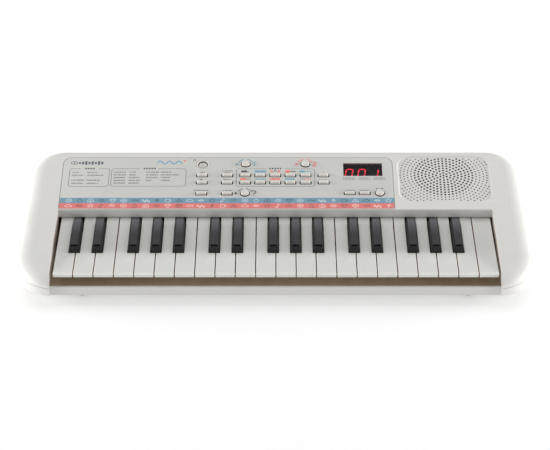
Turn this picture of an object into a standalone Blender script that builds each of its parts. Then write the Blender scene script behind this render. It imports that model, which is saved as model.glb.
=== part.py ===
"""Toy electronic keyboard with 37 small keys: casings, keys, buttons, boards, speaker and feet.

Metres, +Z up, +X to the player's right, +Y to the rear. The origin is on the table, under the
middle of the overall box. Run with: blender --background --python part.py
"""
import math

import bmesh
import bpy
from mathutils import Matrix, Vector

# ---- overall size -------------------------------------------------------------------------
WIDTH = 0.506
HEIGHT = 0.054
PLAN_REAR = 0.1004
PLAN_FRONT = -0.1016           # the outline's front, which the key opening trims by 1.2 mm
REAR_CORNER = 0.036            # plan corners of the casing
FRONT_CORNER = 0.042
WALL = 0.0025                  # casing wall
GAP = 0.0003                   # clearance between neighbours

# ---- casing heights -----------------------------------------------------------------------
FOOT_HEIGHT = 0.004
SKIRT_Z = 0.0095               # lower edge of the upright side
SPLIT_Z = 0.0190               # parting line between the two casings
CUT_FAR, CUT_HIGH = 0.13, 0.08   # cutters reach past the casing
LIP_Y = 0.0088                 # front edge of the upper deck, above the keys
LIP_Z = 0.0400
CROWN_Y = 0.0920               # where the deck starts to roll over at the rear
SIDE_REACH = 0.015             # rolled top edge: how far in it reaches, how far down it drops
SIDE_DROP_FRONT = 0.0085
SIDE_DROP_REAR = 0.0130
REAR_REACH = 0.0085
REAR_DROP = 0.0028
FRONT_REACH = 0.018
FRONT_DROP = 0.0100
CHEEK_Z, CHEEK_Y, CHEEK_SLOPE = 0.0366, -0.0500, 0.02      # end blocks beside the keys
NOSE_Z, NOSE_Y, NOSE_SLOPE = 0.0315, -0.0840, 0.10         # their front ends
DECK_BLEND = (-0.0220, 0.0300)   # where the end blocks rise to the deck: start and length
NOSE_BLEND = (-0.0860, 0.0400)   # where they rise from the nose
SIDE_BLEND = (-0.0100, 0.0700)   # where the rolled side edge deepens
SIDE_STATIONS = (-0.054, -0.046, -0.036, -0.024, -0.016, -0.008, 0.0, 0.009, 0.030)
SIDE_SKIRT = ((0.0075, FOOT_HEIGHT), (0.0032, 0.0058), (0.0004, SKIRT_Z))  # inset and height
FRONT_SKIRT = ((0.0166, FOOT_HEIGHT), (0.0052, 0.0086), (0.0006, 0.0104))  # shallower
DECK_ANGLE = math.atan2(HEIGHT - LIP_Z, CROWN_Y - LIP_Y)

# ---- key bed ------------------------------------------------------------------------------
BED_HALF = 0.2190              # half width of the opening
BED_SHIFT = 0.0006             # the keys sit this far right of the middle
RAIL_Y = -0.0961               # front face of the rail below the keys
RAIL_Z = 0.0179                # its top
KEY_PITCH = 0.0197
KEY_GAP = 0.0010
KEY_TOP = 0.0300
KEY_FRONT = -0.0904
KEY_LIP = 0.0044               # height of the white key's front
KEY_TAIL = 0.0340
PIVOT_Y = 0.0310
PIVOT_Z = 0.0262
WHITE_COUNT = 22
BLACK_FRONT = -0.0541
BLACK_REAR = -0.0020
BLACK_TOP = 0.0372
BLACK_BASE = 0.0106
BLACK_CREST = 0.0074           # width of the upper face
BLACK_NOTCH = 0.0007           # clearance between black and white keys
BLACK_RAKE = 0.0022            # how far the front face leans back
BLACK_TAIL = 0.0038            # half width of the tail under the deck
KEY_EDGE = 0.0005              # rounding
KEY_WALL, KEY_ROOF = 0.0018, 0.0022
SLOT_CLEAR = 0.0010            # above the keys, where they pass under the deck
PLUNGER_Y = -0.0350
PLUNGER_BOTTOM = 0.0196
PLUNGER_SIDE = 0.0046
# sideways shift of each black key from the joint of its two white neighbours, by letter
BLACK_SHIFTS = {"c": -0.0015, "d": 0.0015, "f": -0.0026, "g": 0.0, "a": 0.0026}
LETTERS = "cdefgab"

# ---- control panel, in the tilted frame of the deck: x, t up the slope from the lip ---------
PANEL_LEFT, PANEL_RIGHT = -0.2186, 0.1206
PANEL_LOW, PANEL_HIGH = 0.0010, 0.0804
PANEL_CORNER_TOP = 0.009
PANEL_CORNER_LOW = 0.002
POCKET_DEPTH = 0.0015
HOLE_DEPTH = 0.0060            # the openings are cut this far above and below the deck
WINDOW = (0.0700, 0.0515, 0.1101, 0.0714)       # x0, t0, x1, t1
LENS_LOW, LENS_HIGH = -0.0018, -0.0001
GRILLE = (0.1272, 0.0128, 0.2196, 0.0794)
GRILLE_DEPTH = 0.0010
GRILLE_CORNER = 0.0125
SPEAKER_X, SPEAKER_T = 0.1728, 0.0535
SPEAKER_RADIUS = 0.0320

# ---- buttons ------------------------------------------------------------------------------
BUTTON_RISE = 0.0018
BUTTON_TRAVEL = 0.0010
BUTTON_FLANGE = 0.0010
BUTTON_EDGE = 0.0006           # rounding
FLANGE_REACH = 0.0012          # how far a flange reaches past its caps
ROUND_RADIUS, ROUND_HOLE = 0.0042, 0.0051
BAR_SIZE, BAR_HOLE = (0.0088, 0.0044), (0.0122, 0.0050)
POWER_TOP, POWER_DISH = -0.0012, 0.0070         # the sunken button, and its dish in the panel
ROUND_BUTTONS = {
    "power_button": (-0.0746, 0.0695),
    "voice_one_button": (-0.0305, 0.0698),
    "voice_two_button": (0.0311, 0.0698),
    "quiz_button": (-0.0309, 0.0245),
    "start_button": (0.1063, 0.0248),
}
ROW_1, ROW_2, ROW_3 = 0.0520, 0.0408, 0.0240
LEFT_COLUMNS = (-0.0752, -0.0493)
VOICE_COLUMNS = (-0.0308, -0.0154, 0.0, 0.0155, 0.0310, 0.0495)
MODE_COLUMNS = (0.0757, 0.0909)
BUTTON_SETS = {
    "left_button_set": [(x, t) for x in LEFT_COLUMNS for t in (ROW_1, ROW_2, ROW_3)],
    "voice_button_set": [(x, t) for x in VOICE_COLUMNS for t in (ROW_1, ROW_2)],
    "mode_button_set": [(x, ROW_3 + 0.0006) for x in MODE_COLUMNS],
}

# ---- inner parts --------------------------------------------------------------------------
FLOOR_TOP = FOOT_HEIGHT + WALL
BOARD_DEPTH = 0.0055           # main board, below the deck
BOARD_THICK = 0.0016
BOARD = (-0.1010, 0.0060, 0.1180, 0.0780)
JACK_X = (0.0320, 0.0560)      # headphone socket and power inlet
CONTACT_Z = 0.0095
BAY = (-0.1500, 0.0480, -0.0380, 0.0860)        # battery bay: x0, y0, x1, y1
BAY_ROOF = 0.0220
COVER_PLAY, COVER_THICK = 0.0004, 0.0020
HINGE_INSET = 0.0020           # hinge line of the battery cover, from the bay's rear wall
FINGER = (0.0080, 0.0030, 0.0090, 0.0008)       # notch: half width, front, rear, depth
POST_RADIUS = 0.0025
POST_INSET = 0.0040            # board posts, from the board's edges
SOCKET_RADIUS = 0.0036
SOCKET_SIZE = (0.0050, 0.0100, 0.0040, 0.0090)  # half width, reach in, reach out, depth
RIB_Y, RIB_HALF, RIB_WIDTH = (-0.058, -0.010), 0.200, 0.002
CONTACT_Y = (-0.0600, -0.0060)
STRIP_HALF, STRIP_THICK = 0.0070, 0.0012        # rubber strip under the plungers
DOME_RADII, DOME_CLEAR = (0.0044, 0.0026), 0.0028
INNER_HALF = BED_HALF - 0.0040                  # half length of the bar, board and strip
FEET = {"front_left": (-0.1890, -0.0795), "front_right": (0.1890, -0.0795),
        "rear_left": (-0.1910, 0.0760), "rear_right": (0.1910, 0.0760)}
FOOT_RADIUS = 0.0055
FOOT_EDGE = 0.0006

COLOURS = {
    "case": ((0.66, 0.65, 0.62), 0.5), "panel": ((0.56, 0.56, 0.53), 0.45),
    "white": ((0.69, 0.69, 0.66), 0.3), "black": ((0.012, 0.012, 0.013), 0.25),
    "smoke": ((0.03, 0.03, 0.03), 0.1), "board": ((0.02, 0.16, 0.07), 0.5),
    "rubber": ((0.05, 0.05, 0.05), 0.8), "steel": ((0.4, 0.4, 0.42), 0.35),
    "paper": ((0.04, 0.04, 0.045), 0.9),
}


# ---- scene helpers ------------------------------------------------------------------------
def clear_scene():
    for obj in list(bpy.data.objects):
        bpy.data.objects.remove(obj, do_unlink=True)


def new_collection(name):
    coll = bpy.data.collections.new(name)
    bpy.context.scene.collection.children.link(coll)
    return coll


def material(kind, node):
    colour, rough = COLOURS[kind]
    mat = bpy.data.materials.new(node + "_" + kind)
    mat.use_nodes = True
    shader = mat.node_tree.nodes["Principled BSDF"]
    shader.inputs["Base Color"].default_value = (*colour, 1.0)
    shader.inputs["Roughness"].default_value = rough
    shader.inputs["Metallic"].default_value = 1.0 if kind == "steel" else 0.0
    return mat


def add_object(name, bm, coll, kind=None, smooth=False):
    bmesh.ops.recalc_face_normals(bm, faces=bm.faces)
    mesh = bpy.data.meshes.new(name)
    bm.to_mesh(mesh)
    bm.free()
    obj = bpy.data.objects.new(name, mesh)
    coll.objects.link(obj)
    if kind:
        mesh.materials.append(material(kind, name))
    if smooth:
        mesh.shade_smooth()
        mesh.set_sharp_from_angle(angle=math.radians(35))
    return obj


def add_cutter(name, bm):
    obj = add_object(name, bm, CUTTERS)
    obj.hide_render = True
    obj.display_type = "WIRE"
    return obj


def boolean(obj, other, operation):
    mod = obj.modifiers.new(operation.lower() + "_" + other.name, "BOOLEAN")
    mod.operation = operation
    mod.object = other
    mod.solver = "EXACT"


def bevel(obj, width, segments=1, angle=40):
    mod = obj.modifiers.new("edge", "BEVEL")
    mod.width = width
    mod.segments = segments
    mod.limit_method = "ANGLE"
    mod.angle_limit = math.radians(angle)


def parent_keep(obj, parent):
    obj.parent = parent
    obj.matrix_parent_inverse = Matrix.Identity(4)


def add_empty(name, matrix):
    empty = bpy.data.objects.new(name, None)
    PARTS.objects.link(empty)
    empty.matrix_world = matrix
    return empty


# ---- shape helpers ------------------------------------------------------------------------
def box(low, high, bm=None):
    """A box between two corners, added to bm."""
    bm = bm or bmesh.new()
    size = [h - l for l, h in zip(low, high)]
    middle = [(h + l) / 2 for l, h in zip(low, high)]
    matrix = Matrix.Translation(middle) @ Matrix.Diagonal((*size, 1.0))
    bmesh.ops.create_cube(bm, size=1.0, matrix=matrix)
    return bm


def cylinder(x, y, z0, z1, radius, segments=24, bm=None, top_radius=None):
    bm = bm or bmesh.new()
    matrix = Matrix.Translation((x, y, (z0 + z1) / 2))
    top = radius if top_radius is None else top_radius
    bmesh.ops.create_cone(bm, cap_ends=True, segments=segments, radius1=radius, radius2=top,
                          depth=z1 - z0, matrix=matrix)
    return bm


def prism(outline, z0, z1, bm=None):
    """A flat outline of (x, y) points, pulled up from z0 to z1."""
    bm = bm or bmesh.new()
    face = bm.faces.new([bm.verts.new((x, y, z0)) for x, y in outline])
    moved = bmesh.ops.extrude_face_region(bm, geom=[face])["geom"]
    verts = [v for v in moved if isinstance(v, bmesh.types.BMVert)]
    bmesh.ops.translate(bm, verts=verts, vec=(0, 0, z1 - z0))
    return bm


def rounded_box_outline(x0, y0, x1, y1, low_radius, high_radius, segments=5):
    points = []
    corners = ((x1, y0, low_radius, -90), (x1, y1, high_radius, 0),
               (x0, y1, high_radius, 90), (x0, y0, low_radius, 180))
    for x, y, radius, start in corners:
        cx = x - math.copysign(radius, x - (x0 + x1) / 2)
        cy = y - math.copysign(radius, y - (y0 + y1) / 2)
        for i in range(segments + 1):
            angle = math.radians(start + 90 * i / segments)
            points.append((cx + radius * math.cos(angle), cy + radius * math.sin(angle)))
    return points


# ---- casing surface -----------------------------------------------------------------------
def smooth_step(value):
    value = min(max(value, 0.0), 1.0)
    return value * value * (3 - 2 * value)


def blend(y, span):
    """0 before the span's start and 1 past its end, smooth between."""
    start, length = span
    return smooth_step((y - start) / length)


def deck_height(y):
    """Height of the casing's upper surface: a straight sloping deck behind the lip, end blocks
    beside the keys that level out, then dip towards the player."""
    slope = math.tan(DECK_ANGLE)
    deck = min(LIP_Z + (y - LIP_Y) * slope, HEIGHT)
    level = CHEEK_Z + (y - CHEEK_Y) * CHEEK_SLOPE
    nose = NOSE_Z + (y - NOSE_Y) * NOSE_SLOPE
    risen = level + (deck - level) * blend(y, DECK_BLEND)
    return nose + (risen - nose) * blend(y, NOSE_BLEND)


def case_outline(steps=7):
    """Stations around the plan outline, from the front right corner counter-clockwise: the
    corner's centre, the outward normal and the corner radius. The second half mirrors the
    first. Stations along the sides are closer where the upper surface bends."""
    right = []
    corners = ((PLAN_FRONT + FRONT_CORNER, FRONT_CORNER, -90),
               (PLAN_REAR - REAR_CORNER, REAR_CORNER, 0))
    for y, radius, start in corners:
        for i in range(steps + 1):
            angle = math.radians(start + 90 * i / steps)
            right.append((WIDTH / 2 - radius, y, math.cos(angle), math.sin(angle), radius))
        if start < 0:
            right += [(WIDTH / 2 - radius, y_side, 1.0, 0.0, radius) for y_side in SIDE_STATIONS]
    return right + [(-x, y, -nx, ny, radius) for x, y, nx, ny, radius in reversed(right)]


def roll(nx, ny, y, thin):
    """Reach and drop of the rolled edge for an outward direction at a place along the side."""
    end_reach, end_drop = (FRONT_REACH, FRONT_DROP) if ny < 0 else (REAR_REACH, REAR_DROP)
    side_drop = SIDE_DROP_FRONT + (SIDE_DROP_REAR - SIDE_DROP_FRONT) * blend(y, SIDE_BLEND)
    reach = SIDE_REACH * nx * nx + end_reach * ny * ny
    drop = side_drop * nx * nx + end_drop * ny * ny
    return reach - thin, drop - thin


def loft(rings, cap_strips):
    """Skin closed rings of equal count. The first ring gets a flat cap. The last is closed by
    strips from its right half to its left half, because its height follows y."""
    bm = bmesh.new()
    made = [[bm.verts.new(p) for p in ring] for ring in rings]
    count = len(rings[0])
    for low, high in zip(made, made[1:]):
        for i in range(count):
            j = (i + 1) % count
            bm.faces.new((low[i], low[j], high[j], high[i]))
    bm.faces.new(list(reversed(made[0])))
    last = made[-1]
    if cap_strips:
        for i in range(count // 2 - 1):
            bm.faces.new((last[i], last[i + 1], last[count - 2 - i], last[count - 1 - i]))
    else:
        bm.faces.new(last)
    return bm


def upper_form(thin, bottom, steps=4):
    """The upper casing's form, made thinner by `thin` on every side, standing on z = bottom."""
    rings = [[], []] + [[] for _ in range(steps)]
    for x, y, nx, ny, radius in case_outline():
        px, py = x + nx * (radius - thin), y + ny * (radius - thin)
        reach, drop = roll(nx, ny, py, thin)
        top = deck_height(py) - thin
        rings[0].append((px, py, bottom))
        rings[1].append((px, py, top - drop))
        for k in range(1, steps + 1):
            angle = math.radians(90 * k / steps)
            inset = reach * (1 - math.cos(angle))
            qx, qy = px - nx * inset, py - ny * inset
            height = deck_height(qy) - thin - drop * (1 - math.sin(angle))
            rings[1 + k].append((qx, qy, height))
    return loft(rings, cap_strips=True)


def lower_form(thin, top):
    """The lower casing's tray: upright side, then a sloping skirt down to the flat floor."""
    rim = (0.0, top - thin)
    rings = []
    for side, front in zip(SIDE_SKIRT + (rim,), FRONT_SKIRT + (rim,)):
        ring = []
        for x, y, nx, ny, radius in case_outline():
            share = max(-ny, 0.0) ** 3
            inset = side[0] + (front[0] - side[0]) * share
            height = side[1] + (front[1] - side[1]) * share
            reach = radius - thin - inset
            ring.append((x + nx * reach, y + ny * reach, height + thin))
        rings.append(ring)
    return loft(rings, cap_strips=False)


def on_deck(bm):
    """Move a shape from the deck's own frame (x, t, depth) into place."""
    bmesh.ops.transform(bm, matrix=DECK, verts=bm.verts)
    return bm


# ---- casings ------------------------------------------------------------------------------
def panel_outline(grow=0.0):
    return rounded_box_outline(PANEL_LEFT - grow, PANEL_LOW - grow, PANEL_RIGHT + grow,
                               PANEL_HIGH + grow, PANEL_CORNER_LOW, PANEL_CORNER_TOP)


def button_holes(power_radius):
    """Cutters for the openings in the deck and the panel, where the power button's is wider."""
    bm = bmesh.new()
    z0, z1 = -HOLE_DEPTH, HOLE_DEPTH
    for name, (x, t) in ROUND_BUTTONS.items():
        cylinder(x, t, z0, z1, power_radius if name == "power_button" else ROUND_HOLE, 20, bm)
    half_x, half_t = BAR_HOLE[0] / 2, BAR_HOLE[1] / 2
    for spots in BUTTON_SETS.values():
        for x, t in spots:
            box((x - half_x, t - half_t, z0), (x + half_x, t + half_t, z1), bm)
    box((WINDOW[0], WINDOW[1], z0), (WINDOW[2], WINDOW[3], z1), bm)
    return bm


def make_top_case():
    case = add_object("top_case", upper_form(0.0, SPLIT_Z), PARTS, "case", smooth=True)
    cavity = add_cutter("case_cavity", upper_form(WALL, SPLIT_Z - 0.002))
    solid_zone = box((-BED_HALF - WALL, -CUT_FAR, 0.0), (BED_HALF + WALL, LIP_Y + WALL, CUT_HIGH))
    boolean(cavity, add_cutter("bed_walls", solid_zone), "DIFFERENCE")
    boolean(case, cavity, "DIFFERENCE")
    opening = box((-BED_HALF, -CUT_FAR, 0.0), (BED_HALF, LIP_Y, CUT_HIGH))
    boolean(case, add_cutter("key_opening", opening), "DIFFERENCE")
    slot = box((-BED_HALF, -CUT_FAR, 0.0), (BED_HALF, LIP_Y + 2 * WALL, KEY_TOP + SLOT_CLEAR))
    boolean(case, add_cutter("key_slot", slot), "DIFFERENCE")
    pocket = on_deck(prism(panel_outline(GAP), -POCKET_DEPTH, HOLE_DEPTH))
    boolean(case, add_cutter("panel_pocket", pocket), "DIFFERENCE")
    dish = on_deck(prism(rounded_box_outline(*GRILLE, GRILLE_CORNER, GRILLE_CORNER),
                         -GRILLE_DEPTH, HOLE_DEPTH))
    boolean(case, add_cutter("grille_dish", dish), "DIFFERENCE")
    holes = on_deck(button_holes(ROUND_HOLE))
    boolean(case, add_cutter("deck_holes", holes), "DIFFERENCE")
    posts = bmesh.new()
    for x in (BOARD[0] + POST_INSET, BOARD[2] - POST_INSET):
        for t in (BOARD[1] + POST_INSET, BOARD[3] - POST_INSET):
            cylinder(x, t, GAP - BOARD_DEPTH, GAP - WALL, POST_RADIUS, 12, posts)
    boolean(case, add_cutter("board_posts", on_deck(posts)), "UNION")
    sockets = bmesh.new()
    for x in JACK_X:
        cylinder(x, 0.0, -HOLE_DEPTH, HOLE_DEPTH, SOCKET_RADIUS, 16, sockets)
    bmesh.ops.transform(sockets, verts=sockets.verts,
                        matrix=Matrix.Translation((0, PLAN_REAR, JACK_Z)) @ ON_REAR)
    boolean(case, add_cutter("socket_holes", sockets), "DIFFERENCE")
    return case


def make_bottom_case():
    top = SPLIT_Z - GAP
    case = add_object("bottom_case", lower_form(0.0, top), PARTS, "case", smooth=True)
    cavity = add_cutter("tray_cavity", lower_form(WALL, top + 2 * WALL))
    solid_zone = box((-BED_HALF - WALL, -CUT_FAR, 0.0), (BED_HALF + WALL, RAIL_Y + WALL, CUT_HIGH))
    boolean(cavity, add_cutter("rail_wall", solid_zone), "DIFFERENCE")
    boolean(case, cavity, "DIFFERENCE")
    notch = box((-BED_HALF, -CUT_FAR, -WALL), (BED_HALF, RAIL_Y, CUT_HIGH))
    boolean(case, add_cutter("rail_notch", notch), "DIFFERENCE")
    above_rail = box((-BED_HALF, -CUT_FAR, RAIL_Z), (BED_HALF, RAIL_Y + 2 * WALL, CUT_HIGH))
    boolean(case, add_cutter("rail_top", above_rail), "DIFFERENCE")
    ribs = bmesh.new()
    for y in RIB_Y:
        box((-RIB_HALF, y, FLOOR_TOP - WALL / 2), (RIB_HALF, y + RIB_WIDTH, CONTACT_Z - GAP), ribs)
    boolean(case, add_cutter("board_ribs", ribs), "UNION")
    x0, y0, x1, y1 = BAY
    bay = box((x0 - WALL, y0 - WALL, FLOOR_TOP - WALL / 2), (x1 + WALL, y1 + WALL, BAY_ROOF + WALL))
    boolean(case, add_cutter("bay_walls", bay), "UNION")
    hollow = box((x0, y0, -WALL), (x1, y1, BAY_ROOF))
    boolean(case, add_cutter("bay_hollow", hollow), "DIFFERENCE")
    return case


def make_battery_cover():
    x0, y0, x1, y1 = BAY
    hinge_y, play = y1 - HINGE_INSET, COVER_PLAY
    hinge = add_empty("battery_hinge", Matrix.Translation((0, hinge_y, FOOT_HEIGHT)))
    plate = box((x0 + play, y0 + play - hinge_y, 0.0), (x1 - play, y1 - play - hinge_y, COVER_THICK))
    cover = add_object("battery_cover", plate, PARTS, "case")
    half, front, rear, depth = FINGER
    middle, near = (x0 + x1) / 2, y0 - hinge_y
    grip = add_cutter("finger_notch", box((middle - half, near + front, -depth),
                                          (middle + half, near + rear, depth)))
    parent_keep(grip, hinge)
    parent_keep(cover, hinge)
    boolean(cover, grip, "DIFFERENCE")


# ---- control panel and buttons ------------------------------------------------------------
def make_panel(deck):
    depth = -POCKET_DEPTH + GAP
    panel = add_object("control_panel", prism(panel_outline(), depth, 0.0), PARTS, "panel")
    parent_keep(panel, deck)
    holes = add_cutter("panel_holes", button_holes(POWER_DISH))
    parent_keep(holes, deck)
    boolean(panel, holes, "DIFFERENCE")
    x0, t0, x1, t1 = WINDOW
    lens = box((x0 + GAP, t0 + GAP, LENS_LOW), (x1 - GAP, t1 - GAP, LENS_HIGH))
    window = add_object("display_window", lens, PARTS, "smoke")
    parent_keep(window, deck)


def deck_empty(name, x, t):
    """An empty on the deck surface, its Z axis along a button's travel."""
    return add_empty(name, DECK @ Matrix.Translation((x, t, 0)))


def make_round_button(name, x, t):
    seat = deck_empty(name + "_axis", x, t)
    low = -WALL - GAP
    top = POWER_TOP if name == "power_button" else BUTTON_RISE
    bm = cylinder(0, 0, low - BUTTON_FLANGE, low, ROUND_HOLE + FLANGE_REACH, 20)
    button = add_object(name, bm, PARTS, "white", smooth=True)
    stem = cylinder(0, 0, low - BUTTON_FLANGE / 2, top, ROUND_RADIUS, 20)
    cap = add_cutter(name + "_cap", stem)
    bevel(cap, BUTTON_EDGE, segments=2)
    parent_keep(button, seat)
    parent_keep(cap, seat)
    boolean(button, cap, "UNION")


def make_button_set(name, spots):
    xs = [x for x, _ in spots]
    ts = [t for _, t in spots]
    middle = ((min(xs) + max(xs)) / 2, (min(ts) + max(ts)) / 2)
    seat = deck_empty(name + "_axis", *middle)
    low = -WALL - GAP
    half_x, half_t = BAR_SIZE[0] / 2, BAR_SIZE[1] / 2
    reach_x = (max(xs) - min(xs) + BAR_HOLE[0]) / 2 + FLANGE_REACH
    reach_t = (max(ts) - min(ts) + BAR_HOLE[1]) / 2 + FLANGE_REACH
    plate = box((-reach_x, -reach_t, low - BUTTON_FLANGE), (reach_x, reach_t, low))
    button = add_object(name, plate, PARTS, "white")
    caps = bmesh.new()
    for x, t in spots:
        px, pt = x - middle[0], t - middle[1]
        box((px - half_x, pt - half_t, low - BUTTON_FLANGE / 2),
            (px + half_x, pt + half_t, BUTTON_RISE), caps)
    caps = add_cutter(name + "_caps", caps)
    bevel(caps, BUTTON_EDGE)
    parent_keep(button, seat)
    parent_keep(caps, seat)
    boolean(button, caps, "UNION")


# ---- keys ---------------------------------------------------------------------------------
def white_left(index):
    """Left limit of a white key's share of the key bed."""
    return (index - WHITE_COUNT / 2) * KEY_PITCH + BED_SHIFT


def key_name(letter, octave, sharp=False):
    return "key_{}{}{}".format(letter, "_sharp" if sharp else "", octave)


def black_centre(index):
    """Middle of the black key between white keys index and index + 1."""
    return white_left(index + 1) + BLACK_SHIFTS[LETTERS[index % 7]]


def has_black(index):
    return 0 <= index < WHITE_COUNT - 1 and LETTERS[index % 7] in BLACK_SHIFTS


def place_on_pivot(obj, empty_x):
    """Give a key its origin on the pivot line."""
    pivot = Vector((empty_x, PIVOT_Y, PIVOT_Z))
    obj.data.transform(Matrix.Translation(-pivot))
    obj.location = pivot
    return pivot


def add_plunger(name, x):
    """The stem under a key that presses its rubber dome."""
    half = PLUNGER_SIDE / 2
    return add_cutter(name + "_plunger", box((x - half, PLUNGER_Y - half, PLUNGER_BOTTOM),
                                             (x + half, PLUNGER_Y + half, KEY_TOP - KEY_ROOF)))


def make_white_key(index):
    left = white_left(index) + KEY_GAP / 2
    right = white_left(index + 1) - KEY_GAP / 2
    rear_left, rear_right = left, right
    reach = BLACK_BASE / 2 + BLACK_NOTCH
    if has_black(index - 1):
        rear_left = black_centre(index - 1) + reach
    if has_black(index):
        rear_right = black_centre(index) - reach
    shoulder = BLACK_FRONT - BLACK_NOTCH
    outline = [(left, KEY_FRONT), (right, KEY_FRONT)]
    if rear_right < right:
        outline += [(right, shoulder), (rear_right, shoulder)]
    outline += [(rear_right, KEY_TAIL), (rear_left, KEY_TAIL)]
    if rear_left > left:
        outline += [(rear_left, shoulder), (left, shoulder)]
    name = key_name(LETTERS[index % 7], index // 7 + 1)
    base = KEY_TOP - KEY_LIP
    key = add_object(name, prism(outline, base, KEY_TOP), PARTS, "white")
    middle = (left + right) / 2
    bevel(key, KEY_EDGE)
    wall = KEY_WALL
    hollow = add_cutter(name + "_hollow", box((left + wall, KEY_FRONT + wall, base - wall),
                                              (right - wall, shoulder - wall, KEY_TOP - KEY_ROOF)))
    plunger = add_plunger(name, (rear_left + rear_right) / 2)
    for cutter in (hollow, plunger):
        place_on_pivot(cutter, middle)
    place_on_pivot(key, middle)
    boolean(key, hollow, "DIFFERENCE")
    boolean(key, plunger, "UNION")


def make_black_key(index):
    x = black_centre(index)
    name = key_name(LETTERS[index % 7], index // 7 + 1, sharp=True)
    base = KEY_TOP - KEY_LIP
    half, crest = BLACK_BASE / 2, BLACK_CREST / 2
    sections = ((base, half, BLACK_FRONT, BLACK_REAR), (KEY_TOP, half, BLACK_FRONT, BLACK_REAR),
                (BLACK_TOP, crest, BLACK_FRONT + BLACK_RAKE, BLACK_REAR))
    bm = bmesh.new()
    rings = [[bm.verts.new(p) for p in ((x - w, y0, z), (x + w, y0, z), (x + w, y1, z),
                                        (x - w, y1, z))] for z, w, y0, y1 in sections]
    for low, high in zip(rings, rings[1:]):
        for i in range(4):
            j = (i + 1) % 4
            bm.faces.new((low[i], low[j], high[j], high[i]))
    bm.faces.new(rings[-1])
    bm.faces.new(list(reversed(rings[0])))
    key = add_object(name, bm, PARTS, "black")
    bevel(key, KEY_EDGE, angle=20)
    tail = add_cutter(name + "_tail", box((x - BLACK_TAIL, BLACK_REAR - KEY_WALL, base + KEY_EDGE),
                                          (x + BLACK_TAIL, KEY_TAIL, KEY_TOP - KEY_EDGE)))
    plunger = add_plunger(name, x)
    for cutter in (tail, plunger):
        place_on_pivot(cutter, x)
    place_on_pivot(key, x)
    boolean(key, tail, "UNION")
    boolean(key, plunger, "UNION")


def plunger_positions():
    reach = BLACK_BASE / 2 + BLACK_NOTCH
    spots = []
    for index in range(WHITE_COUNT):
        left = white_left(index) + KEY_GAP / 2
        right = white_left(index + 1) - KEY_GAP / 2
        if has_black(index - 1):
            left = black_centre(index - 1) + reach
        if has_black(index):
            right = black_centre(index) - reach
            spots.append(black_centre(index))
        spots.append((left + right) / 2)
    return sorted(spots)


# ---- inner parts --------------------------------------------------------------------------
def make_key_chassis():
    """The bar that the key tails pivot on: a foot, a web and a rounded ridge."""
    foot_z = FLOOR_TOP + GAP
    ridge_z = KEY_TOP - KEY_LIP - 0.0006
    section = [(0.022, foot_z), (0.040, foot_z), (0.040, foot_z + 0.0025),
               (0.0335, foot_z + 0.0025), (0.0335, ridge_z - 0.001), (0.0325, ridge_z),
               (0.0295, ridge_z), (0.0285, ridge_z - 0.001), (0.0285, foot_z + 0.0025),
               (0.022, foot_z + 0.0025)]
    bm = prism(section, -INNER_HALF, INNER_HALF)
    upright = Matrix(((0, 0, 1, 0), (1, 0, 0, 0), (0, 1, 0, 0), (0, 0, 0, 1)))
    bmesh.ops.transform(bm, matrix=upright, verts=bm.verts)
    add_object("key_chassis", bm, PARTS, "paper")


def make_contacts():
    half = INNER_HALF
    board = box((-half, CONTACT_Y[0], CONTACT_Z), (half, CONTACT_Y[1], CONTACT_Z + BOARD_THICK))
    add_object("contact_board", board, PARTS, "board")
    base = CONTACT_Z + BOARD_THICK + GAP
    strip = box((-half, PLUNGER_Y - STRIP_HALF, base),
                (half, PLUNGER_Y + STRIP_HALF, base + STRIP_THICK))
    rubber = add_object("contact_rubber", strip, PARTS, "rubber")
    domes = bmesh.new()
    for x in plunger_positions():
        cylinder(x, PLUNGER_Y, base + STRIP_THICK / 2, PLUNGER_BOTTOM - DOME_CLEAR, DOME_RADII[0],
                 10, domes, top_radius=DOME_RADII[1])
    boolean(rubber, add_cutter("contact_domes", domes), "UNION")


def make_main_board(deck):
    x0, t0, x1, t1 = BOARD
    top = -BOARD_DEPTH
    board = add_object("main_board", box((x0, t0, top - BOARD_THICK), (x1, t1, top)), PARTS, "board")
    parent_keep(board, deck)
    blocks = bmesh.new()
    half, reach_in, reach_out, depth = SOCKET_SIZE
    for x in JACK_X:
        box((x - half, t1 - reach_in, top - BOARD_THICK / 2 - depth),
            (x + half, t1 + reach_out, top - BOARD_THICK / 2), blocks)
    sockets = add_cutter("socket_blocks", blocks)
    parent_keep(sockets, deck)
    boolean(board, sockets, "UNION")


def turned(name, profile, kind, steps=28):
    """A turned piece: a profile of (radius, height) from the top centre down, swept by Screw."""
    mesh = bpy.data.meshes.new(name)
    bm = bmesh.new()
    verts = [bm.verts.new((r, 0.0, h)) for r, h in profile]
    for a, b in zip(verts, verts[1:]):
        bm.edges.new((a, b))
    bm.to_mesh(mesh)
    bm.free()
    obj = bpy.data.objects.new(name, mesh)
    PARTS.objects.link(obj)
    mesh.materials.append(material(kind, name))
    mod = obj.modifiers.new("turn", "SCREW")
    mod.axis = "Z"
    mod.steps = mod.render_steps = steps
    mod.use_merge_vertices = True
    mod.merge_threshold = 0.00005
    mod.use_smooth_shade = True
    return obj


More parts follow.
